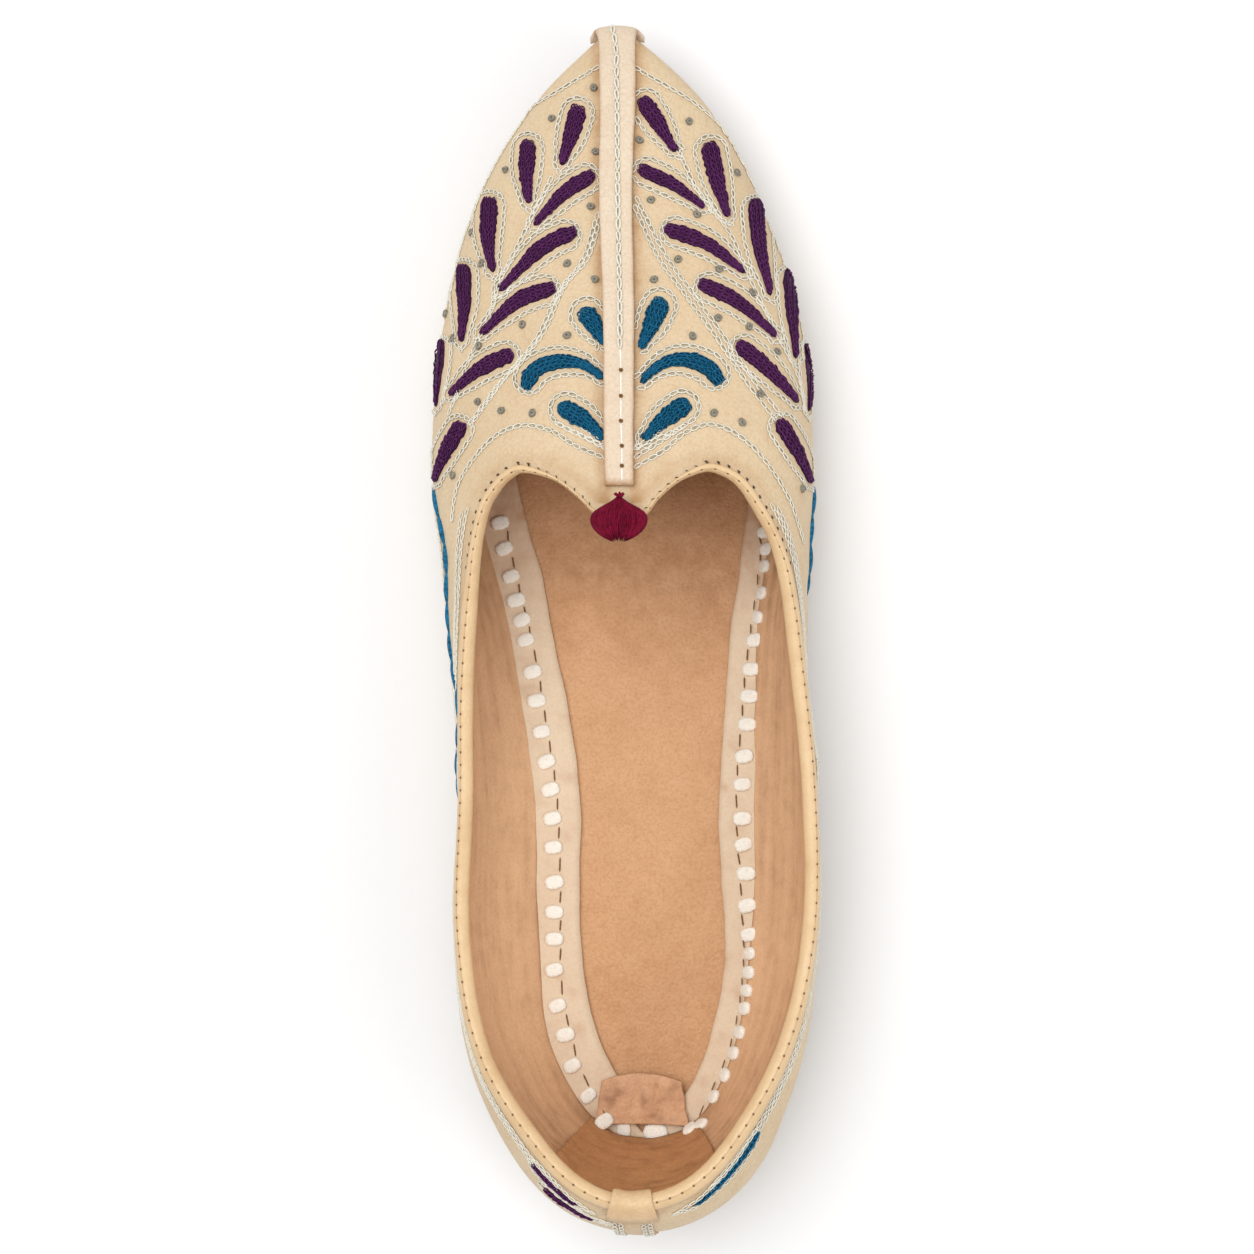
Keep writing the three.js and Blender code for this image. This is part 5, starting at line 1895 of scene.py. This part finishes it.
# Lines of chain on the side walls, in mm: below the rim, above the sole, below the vine
# and round the slivers at the heel
COLLAR_LINES = (4.8, 6.7)
COLLAR_LINE_START = 6.6
COLLAR_LINE_END = 0.6
SOLE_LINES = (8.5, 10.6)
SOLE_LINE_ENDS = (2, 252)
VINE_CHAIN_DROP = 4.2
WALL_LEAF_GAP = 1.7
WALL_TIP_REACH = 1.5


def wall_chain_runs():
    """Every line of chain on the side walls."""
    runs = []
    for side in (LEFT, RIGHT):
        drape = wall_drape(side)
        edge = []
        for station, girth in collar_run(side):
            way = along_of(station) * SHOE_LENGTH
            if COLLAR_LINE_START < way < COLLAR_LINE_END * SHOE_LENGTH:
                edge.append((way, girth * GIRTH_MM))
        for down in COLLAR_LINES:
            runs.append([drape((way, girth - down)) for way, girth in edge])
        for girth in SOLE_LINES:
            runs.append([drape((way, girth)) for way in steps(*SOLE_LINE_ENDS, 160)])
        ways = steps(*VINE_ENDS, 120)
        runs.append([drape((way, vine_girth(side, way) - VINE_CHAIN_DROP)) for way in ways])
    for _, side, marks, full in wall_leaves():
        around = curve_marks(outline_marks(marks, full, WALL_LEAF_GAP, WALL_TIP_REACH), 3)
        runs.append([wall_drape(side)(mark) for mark in around])
    return runs


CORE_RADIUS = 0.5
CORE_FLAT = 0.35


def lay_chain(bm, core, run, link, pitch, rng):
    """Lays links along a run over a thin grey core."""
    places = even_run(run, pitch)
    for spot, normal, tangent in places:
        turn = rng.uniform(-0.12, 0.12)
        add_copy(bm, link, stand(spot, tangent, normal, turn, rng.uniform(0.9, 1.08)))
    if len(places) > 2:
        middle = [(spot, normal) for spot, normal, _ in even_run(run, pitch * 0.75)]
        lay_cord(core, middle, CORE_RADIUS, 4, CORE_FLAT)


def build_chains():
    link = link_template(size_of("link_length"), size_of("link_width"), size_of("link_thread"))
    pitch = size_of("link_pitch")
    for name, runs in (("Vamp chain stitch", chain_runs()), ("Side chain stitch", wall_chain_runs())):
        rng = random.Random(11)
        bm = bmesh.new()
        core = bmesh.new()
        for run in runs:
            lay_chain(bm, core, run, link, pitch, rng)
        finish_piece(bm, name, [silver_thread()], merge=0)
        finish_piece(core, f"{name} core", [grey_core()], merge=THREAD_MERGE)


VINE_ENDS = (24, 172)
VINE_PERIOD = 37
VINE_SWING = 3.6
VINE_LEVEL = 16
VINE_CLIMBS = {LEFT: (24, 58, 126), RIGHT: (17, 128, 171)}
VINE_BEADS = 22
VINE_THIN = 0.5
VINE_SWELL = 0.65


def vine_girth(side, way):
    """The vine's wavy line: low along the wall and higher toward the throat."""
    climb, start, end = VINE_CLIMBS[side]
    level = VINE_LEVEL + climb * ease(way, start, end)
    return level + VINE_SWING * math.sin(2 * math.pi * (way / VINE_PERIOD))


def vine_radius(u):
    """The vine's radius, swollen between its beads' ends."""
    return VINE_THIN + VINE_SWELL * abs(math.sin(VINE_BEADS * math.pi * u)) ** 0.7


def build_vine():
    """The wavy teal line on each side wall."""
    bm = bmesh.new()
    for side in (LEFT, RIGHT):
        run = [wall_drape(side)((way, vine_girth(side, way))) for way in steps(*VINE_ENDS, 320)]
        lay_cord(bm, run, vine_radius, 8, 0.7)
    # The vine takes the teal silk with the painted highlight
    finish_piece(bm, "Side vine", [silk("teal", True)], merge=SILK_MERGE)


KNOT_SHRINK = 0.85
WALL_KNOT_ENDS = (18, 148)
WALL_KNOT_GAPS = 7
VINE_KNOT_DROP = 3.4


def build_knots():
    """A round blob with two turns of thread over it at each mark."""
    bm = bmesh.new()
    rng = random.Random(5)
    size = size_of("knot_size")
    blob = pillow_template(size, size * 0.85, size * 0.55)
    ring = link_template(size, size * 0.8, size * 0.17, 8, 4)
    for mark in KNOT_MARKS:
        found = cast("upper", mark, 4)
        if found:
            spot, normal = found
            turn = rng.uniform(0, math.pi)
            crossing = turn + rng.uniform(0.5, 2)
            add_copy(bm, blob, stand(spot, AHEAD, normal, turn, KNOT_SHRINK))
            add_copy(bm, ring, stand(spot + normal * 0.15, AHEAD, normal, crossing, 1))
            add_copy(bm, ring, stand(spot + normal * 0.28, AHEAD, normal, turn, 0.7))
    for side in (LEFT, RIGHT):
        for way in steps(*WALL_KNOT_ENDS, WALL_KNOT_GAPS):
            spot, normal = wall_drape(side)((way, vine_girth(side, way) - VINE_KNOT_DROP))
            add_copy(bm, blob, stand(spot, AHEAD, normal, rng.uniform(0, math.pi), KNOT_SHRINK))
    finish = thread("knot thread", linear(178, 172, 158), linear(112, 106, 92), (3, 3, 1), 3.0, 0.5, 0.1)
    finish_piece(bm, "French knots", [finish], merge=0)


# The strap's chain and running stitch

STRAP_CHAIN = ((413, 25), (416, 45), (417, 90), (418, 200), (420, 300), (420, 342))
STRAP_THREAD = ((420, 340), (421, 366), (421, 392), (421, 417), (422, 442), (422, 462), (422, 478))
STRAP_LINK_LENGTH = 3.4
STRAP_LINK_WIDTH = 1.35
STRAP_LINK_THREAD = 0.28
STRAP_LINK_PITCH = 2.9
RUNNING_RADIUS = 0.22
BACKSTAY_COLUMNS = (-4.0, -2.6, 2.6, 4.0)
BACKSTAY_HEIGHTS = (14, 46)


def build_strap_stitches():
    bm = bmesh.new()
    core = bmesh.new()
    rng = random.Random(3)
    link = link_template(STRAP_LINK_LENGTH, STRAP_LINK_WIDTH, STRAP_LINK_THREAD)
    for run in runs_on("strap", curve_marks(STRAP_CHAIN, 30)):
        lay_chain(bm, core, run, link, STRAP_LINK_PITCH, rng)
    small = link_template(size_of("link_length"), size_of("link_width"), size_of("link_thread"))
    for x in BACKSTAY_COLUMNS:
        run = []
        for height in steps(*BACKSTAY_HEIGHTS, 40):
            if height > widest_at(0):
                girth = girth_at_height(RIGHT, 0, height)
            else:
                girth = LOW_SHARE * height / widest_at(0)
            spot = surface(RIGHT, 0, girth, -BACKSTAY_LIFT)
            found, normal, _, _ = TREES["backstay"].find_nearest(Vector((x, spot.y, spot.z)))
            run.append((found, normal))
        lay_chain(bm, core, run, small, size_of("link_pitch"), rng)
    finish_piece(bm, "Strap chain stitch", [silver_thread()], merge=0)
    finish_piece(core, "Strap chain core", [grey_core()], merge=THREAD_MERGE)
    bm = bmesh.new()
    holes = bmesh.new()
    ring = link_template(1.05, 0.95, 0.17, 8, 4)
    blob = pillow_template(0.7, 0.65, 0.3)
    for start, end in zip(STRAP_THREAD, STRAP_THREAD[1:]):
        for run in runs_on("strap", curve_marks((start, end), 8)):
            lay_cord(bm, run, RUNNING_RADIUS, 6, 0.7)
    for mark in STRAP_THREAD[1:-1]:
        spot, normal = cast("strap", mark)
        for template in (ring, blob):
            add_copy(holes, template, stand(spot, AHEAD, normal, math.pi / 4))
    finish_piece(bm, "Strap running stitch", [white_cotton()], merge=THREAD_MERGE)
    finish_piece(holes, "Strap stitch holes", [tan_thread()], merge=0)


def white_cotton():
    shade = linear(242, 236, 222)
    return thread("white cotton", colour_of("cotton"), shade, (1.2, 3.2, 1), 2.0, 0.6, 0.2)


def tan_thread():
    return thread("tan thread", linear(158, 118, 78), linear(108, 76, 46), (2, 3, 1), 2.0, 0.7, 0.0)


def brown_thread():
    return thread("brown thread", colour_of("brown"), linear(58, 34, 20), (2, 3, 1), 2.0, 0.6, 0.3)


# Whip stitches round the lobes

WHIP_FROM = 0.55


def build_whips():
    bm = bmesh.new()
    pitch = size_of("whip_pitch")
    gone = 0
    due = 0
    last = None
    for place, tangent, spot in rim_frames():
        if last is not None:
            gone += (spot - last).length
        last = spot
        if along_of(place[1]) < WHIP_FROM or gone < due:
            continue
        due = gone + pitch
        _, _, normal = surface_axes(place)
        into = normal.cross(tangent).normalized()
        leg = rim_fold(place)[0]
        size = 1 if rim_size(place) > 0.9 * LOBE_RIM else 0.55
        hook = []
        for share in steps(-1, 1, 8):
            foot = step_away(place, into, max(0.2, leg + 0.15 - 0.55 * size * share))
            lift = 0.12 + 0.3 * max(0, share) ** 2
            hook.append((surface(*foot, -lift) + tangent * (0.35 * size * share), normal))
        lay_cord(bm, hook, 0.2 * size, 6, 0.8)
        bar = []
        for share in steps(-1, 1, 6):
            foot = step_away(place, into, leg + 0.6 * size)
            bar.append((surface(*foot, -0.1) + tangent * (0.42 * size * share - 0.25), normal))
        lay_cord(bm, bar, 0.17 * size, 5, 0.7)
    finish_piece(bm, "Whip stitches", [brown_thread()], merge=THREAD_MERGE)


# The thick white stitches inside

BAND_STITCHES_LEFT = (
    (299, 519), (303, 545), (310, 573), (315, 597), (321, 617), (325, 637), (332, 669), (336, 698),
    (341, 729), (346, 759), (350, 787), (352, 816), (353, 845), (354, 880), (354, 910), (354, 937),
    (354, 968), (357, 1004), (365, 1033), (372, 1064), (388, 1094), (404, 1120),
)
BAND_STITCHES_RIGHT = (
    (566, 529), (568, 546), (566, 563), (563, 590), (559, 614), (556, 637), (552, 666), (550, 693),
    (548, 721), (545, 753), (543, 781), (543, 815), (544, 841), (547, 870), (548, 902), (550, 931),
    (551, 950), (550, 969), (548, 987), (546, 1005), (541, 1029), (535, 1050), (526, 1072), (515, 1094),
    (502, 1122),
)
BACK_STITCHES = ((424, 1128), (456, 1130), (490, 1126))
STITCH_HEIGHT = 1.5
STITCH_GAP = 4.4
STITCH_SIDE = 1.7
JOIN_RADIUS = 0.19


def inside_spot(mark):
    """The highest of the band, pad and counter lining under a mark."""
    found = [hit for hit in (cast(name, mark) for name in ("band", "pad", "counter", "lining")) if hit]
    return min(found, key=lambda hit: (hit[0] - EYE).length) if found else None


def build_band_stitches():
    bm = bmesh.new()
    joins = bmesh.new()
    rng = random.Random(9)
    pillow = pillow_template(size_of("stitch_length"), size_of("stitch_width"), STITCH_HEIGHT)
    for marks in (BAND_STITCHES_LEFT, BAND_STITCHES_RIGHT):
        spots = [inside_spot(mark) for mark in marks]
        known = [found for found in spots if found]
        for index, (spot, normal) in enumerate(known):
            before = known[max(index - 1, 0)][0]
            after = known[min(index + 1, len(known) - 1)][0]
            gap = (after - before).length / (2 if 0 < index < len(known) - 1 else 1)
            size = min(1.06, max(0.86, gap / STITCH_GAP)) * rng.uniform(0.95, 1.05)
            turn = rng.uniform(0.02, 0.3)
            heading = (after - before).normalized()
            add_copy(bm, pillow, stand(spot + normal * 0.3, heading, normal, turn, size))
        inner = Vector((1 if marks is BAND_STITCHES_LEFT else -1, 0, 0))
        run = [(spot + normal * 0.12 + inner * STITCH_SIDE, normal) for spot, normal in known]
        for start, end in zip(run, run[1:]):
            line = []
            for share in steps(0.28, 0.72, 6):
                line.append((start[0].lerp(end[0], share) - inner * 0.5 * share, start[1]))
            lay_cord(joins, line, JOIN_RADIUS, 6, 0.8)
    for mark in BACK_STITCHES:
        found = inside_spot(mark)
        if found:
            spot, normal = found
            place = stand(spot + normal * 0.15, Vector((1, 0, 0)), normal, rng.uniform(-0.1, 0.1))
            long = 1.9 if mark == BACK_STITCHES[1] else 1.1
            add_copy(bm, pillow, place @ Matrix.Diagonal((1, long, 1, 1)))
    finish_piece(bm, "Band stitches", [white_cotton()], merge=0)
    finish_piece(joins, "Band stitch thread", [tan_thread()], merge=THREAD_MERGE)


# Floor, light and camera

CAMERA_AIM = Vector((-3, 101, 20))
PHOTO_WIDTH = 292.9
PHOTO_DISTANCE = 630
SENSOR = 36
VIEW_REACH = 20
FLOOR_SIZE = 3
FLOOR_GREY = 0.85
AIR_STRENGTH = 0.62
LIGHT_TARGET = Vector((0, 0.1, 0))
# Each softbox: name, place, size and power
SOFTBOXES = (
    ("Overhead softbox", (-0.25, 0.35, 1.3), 1.1, 13),
    ("Side softbox", (0.9, -0.3, 0.8), 0.7, 3.2),
)


def build_stage():
    """The floor, the even light of the studio, two softboxes and the camera over the shoe."""
    bm = bmesh.new()
    bmesh.ops.create_grid(bm, x_segments=4, y_segments=4, size=FLOOR_SIZE)
    mesh = bpy.data.meshes.new("Floor")
    bm.to_mesh(mesh)
    bm.free()
    floor = bpy.data.objects.new("Floor", mesh)
    bpy.context.scene.collection.objects.link(floor)
    finish, _, shader = new_material("pale floor", linear(250, 250, 250))
    shader.inputs["Base Color"].default_value = (FLOOR_GREY, FLOOR_GREY, FLOOR_GREY, 1)
    shader.inputs["Roughness"].default_value = 0.9
    shader.inputs["Specular IOR Level"].default_value = 0.1
    mesh.materials.append(finish)

    world = bpy.data.worlds.new("Studio air")
    world.use_nodes = True
    air = world.node_tree.nodes["Background"]
    air.inputs["Color"].default_value = (1, 1, 1, 1)
    air.inputs["Strength"].default_value = AIR_STRENGTH
    bpy.context.scene.world = world

    for name, spot, size, power in SOFTBOXES:
        light = bpy.data.lights.new(name, "AREA")
        light.energy = power
        light.size = size
        lamp = bpy.data.objects.new(name, light)
        lamp.location = spot
        lamp.rotation_euler = (LIGHT_TARGET - Vector(spot)).to_track_quat("-Z", "Y").to_euler()
        bpy.context.scene.collection.objects.link(lamp)

    camera = bpy.data.cameras.new("Camera")
    camera.sensor_width = SENSOR
    camera.lens = SENSOR * PHOTO_DISTANCE / PHOTO_WIDTH
    camera.clip_end = VIEW_REACH
    camera.dof.use_dof = False
    eye = bpy.data.objects.new("Camera", camera)
    eye.location = EYE * MM
    back = (EYE - CAMERA_AIM).normalized()
    right = AHEAD.cross(back).normalized()
    eye.rotation_euler = Matrix((right, back.cross(right), back)).transposed().to_euler()
    bpy.context.scene.collection.objects.link(eye)
    bpy.context.scene.camera = eye
    bpy.context.scene.view_settings.view_transform = "Standard"


# Operators, panel and registration


class MOJARI_OT_upper(bpy.types.Operator):
    """Builds the hollow upper"""

    bl_idname = "mojari.upper"
    bl_label = "Upper"

    def execute(self, context):
        build_upper()
        return {"FINISHED"}


class MOJARI_OT_sole(bpy.types.Operator):
    """Builds the outsole and the heel lift"""

    bl_idname = "mojari.sole"
    bl_label = "Outsole and heel lift"

    def execute(self, context):
        build_sole()
        return {"FINISHED"}


class MOJARI_OT_insole(bpy.types.Operator):
    """Builds the insole"""

    bl_idname = "mojari.insole"
    bl_label = "Insole"

    def execute(self, context):
        build_insole()
        return {"FINISHED"}


class MOJARI_OT_band(bpy.types.Operator):
    """Builds the puckered band round the insole"""

    bl_idname = "mojari.band"
    bl_label = "Inner band"

    def execute(self, context):
        build_band()
        return {"FINISHED"}


class MOJARI_OT_pad(bpy.types.Operator):
    """Builds the worn pad at the heel"""

    bl_idname = "mojari.pad"
    bl_label = "Heel pad"

    def execute(self, context):
        build_pad()
        return {"FINISHED"}


class MOJARI_OT_lining(bpy.types.Operator):
    """Builds the loose lining inside the walls"""

    bl_idname = "mojari.lining"
    bl_label = "Side lining"

    def execute(self, context):
        build_lining()
        return {"FINISHED"}


class MOJARI_OT_counter(bpy.types.Operator):
    """Builds the lining at the heel"""

    bl_idname = "mojari.counter"
    bl_label = "Counter lining"

    def execute(self, context):
        build_counter()
        return {"FINISHED"}


class MOJARI_OT_backstay(bpy.types.Operator):
    """Builds the strip up the heel's back"""

    bl_idname = "mojari.backstay"
    bl_label = "Backstay"

    def execute(self, context):
        build_backstay()
        return {"FINISHED"}


class MOJARI_OT_binding(bpy.types.Operator):
    """Builds the rolled rim"""

    bl_idname = "mojari.binding"
    bl_label = "Collar binding"

    def execute(self, context):
        build_binding()
        return {"FINISHED"}


class MOJARI_OT_wrap(bpy.types.Operator):
    """Builds the tab folded over the rim"""

    bl_idname = "mojari.wrap"
    bl_label = "Heel wrap"

    def execute(self, context):
        build_wrap()
        return {"FINISHED"}


class MOJARI_OT_strap(bpy.types.Operator):
    """Builds the strap along the toe"""

    bl_idname = "mojari.strap"
    bl_label = "Toe strap"

    def execute(self, context):
        build_strap()
        return {"FINISHED"}


class MOJARI_OT_tassel(bpy.types.Operator):
    """Builds the tassel"""

    bl_idname = "mojari.tassel"
    bl_label = "Tassel"

    def execute(self, context):
        build_tassel()
        return {"FINISHED"}


class MOJARI_OT_leaves(bpy.types.Operator):
    """Builds the purple and teal leaves"""

    bl_idname = "mojari.leaves"
    bl_label = "Satin leaves"

    def execute(self, context):
        build_leaves()
        return {"FINISHED"}


class MOJARI_OT_chains(bpy.types.Operator):
    """Builds the silver chain stitch"""

    bl_idname = "mojari.chains"
    bl_label = "Chain stitch"

    def execute(self, context):
        build_chains()
        return {"FINISHED"}


class MOJARI_OT_vine(bpy.types.Operator):
    """Builds the wavy teal line on each side"""

    bl_idname = "mojari.vine"
    bl_label = "Side vine"

    def execute(self, context):
        build_vine()
        return {"FINISHED"}


class MOJARI_OT_knots(bpy.types.Operator):
    """Builds the knots between the leaves"""

    bl_idname = "mojari.knots"
    bl_label = "French knots"

    def execute(self, context):
        build_knots()
        return {"FINISHED"}


class MOJARI_OT_strap_stitches(bpy.types.Operator):
    """Builds the stitches on strap and backstay"""

    bl_idname = "mojari.strap_stitches"
    bl_label = "Strap stitches"

    def execute(self, context):
        build_strap_stitches()
        return {"FINISHED"}


class MOJARI_OT_whips(bpy.types.Operator):
    """Builds the stitches round the lobes"""

    bl_idname = "mojari.whips"
    bl_label = "Whip stitches"

    def execute(self, context):
        build_whips()
        return {"FINISHED"}


class MOJARI_OT_band_stitches(bpy.types.Operator):
    """Builds the thick white stitches"""

    bl_idname = "mojari.band_stitches"
    bl_label = "Band stitches"

    def execute(self, context):
        build_band_stitches()
        return {"FINISHED"}


class MOJARI_OT_stage(bpy.types.Operator):
    """Builds floor, light and camera"""

    bl_idname = "mojari.stage"
    bl_label = "Stage"

    def execute(self, context):
        build_stage()
        return {"FINISHED"}


OPERATORS = (
    MOJARI_OT_upper,
    MOJARI_OT_sole,
    MOJARI_OT_insole,
    MOJARI_OT_band,
    MOJARI_OT_pad,
    MOJARI_OT_lining,
    MOJARI_OT_counter,
    MOJARI_OT_backstay,
    MOJARI_OT_binding,
    MOJARI_OT_wrap,
    MOJARI_OT_strap,
    MOJARI_OT_tassel,
    MOJARI_OT_leaves,
    MOJARI_OT_chains,
    MOJARI_OT_vine,
    MOJARI_OT_knots,
    MOJARI_OT_strap_stitches,
    MOJARI_OT_whips,
    MOJARI_OT_band_stitches,
    MOJARI_OT_stage,
)


class MOJARI_PT_panel(bpy.types.Panel):
    """Sizes, colours and pieces of the mojari"""

    bl_idname = "MOJARI_PT_panel"
    bl_label = "Mojari"
    bl_space_type = "VIEW_3D"
    bl_region_type = "UI"
    bl_category = "Mojari"

    def draw(self, context):
        for group in (context.scene.mojari_sizes, context.scene.mojari_colours):
            for name in group.__annotations__:
                self.layout.prop(group, name)
        for operator in OPERATORS:
            self.layout.operator(operator.bl_idname)


CLASSES = (MojariColours, MojariSizes, *OPERATORS, MOJARI_PT_panel)


def register():
    for kind in CLASSES:
        bpy.utils.register_class(kind)
    bpy.types.Scene.mojari_colours = bpy.props.PointerProperty(type=MojariColours)
    bpy.types.Scene.mojari_sizes = bpy.props.PointerProperty(type=MojariSizes)


def unregister():
    del bpy.types.Scene.mojari_sizes
    del bpy.types.Scene.mojari_colours
    for kind in reversed(CLASSES):
        bpy.utils.unregister_class(kind)


def main():
    register()
    for operator in OPERATORS:
        getattr(bpy.ops.mojari, operator.bl_idname.split(".")[1])()


if __name__ == "__main__":
    main()
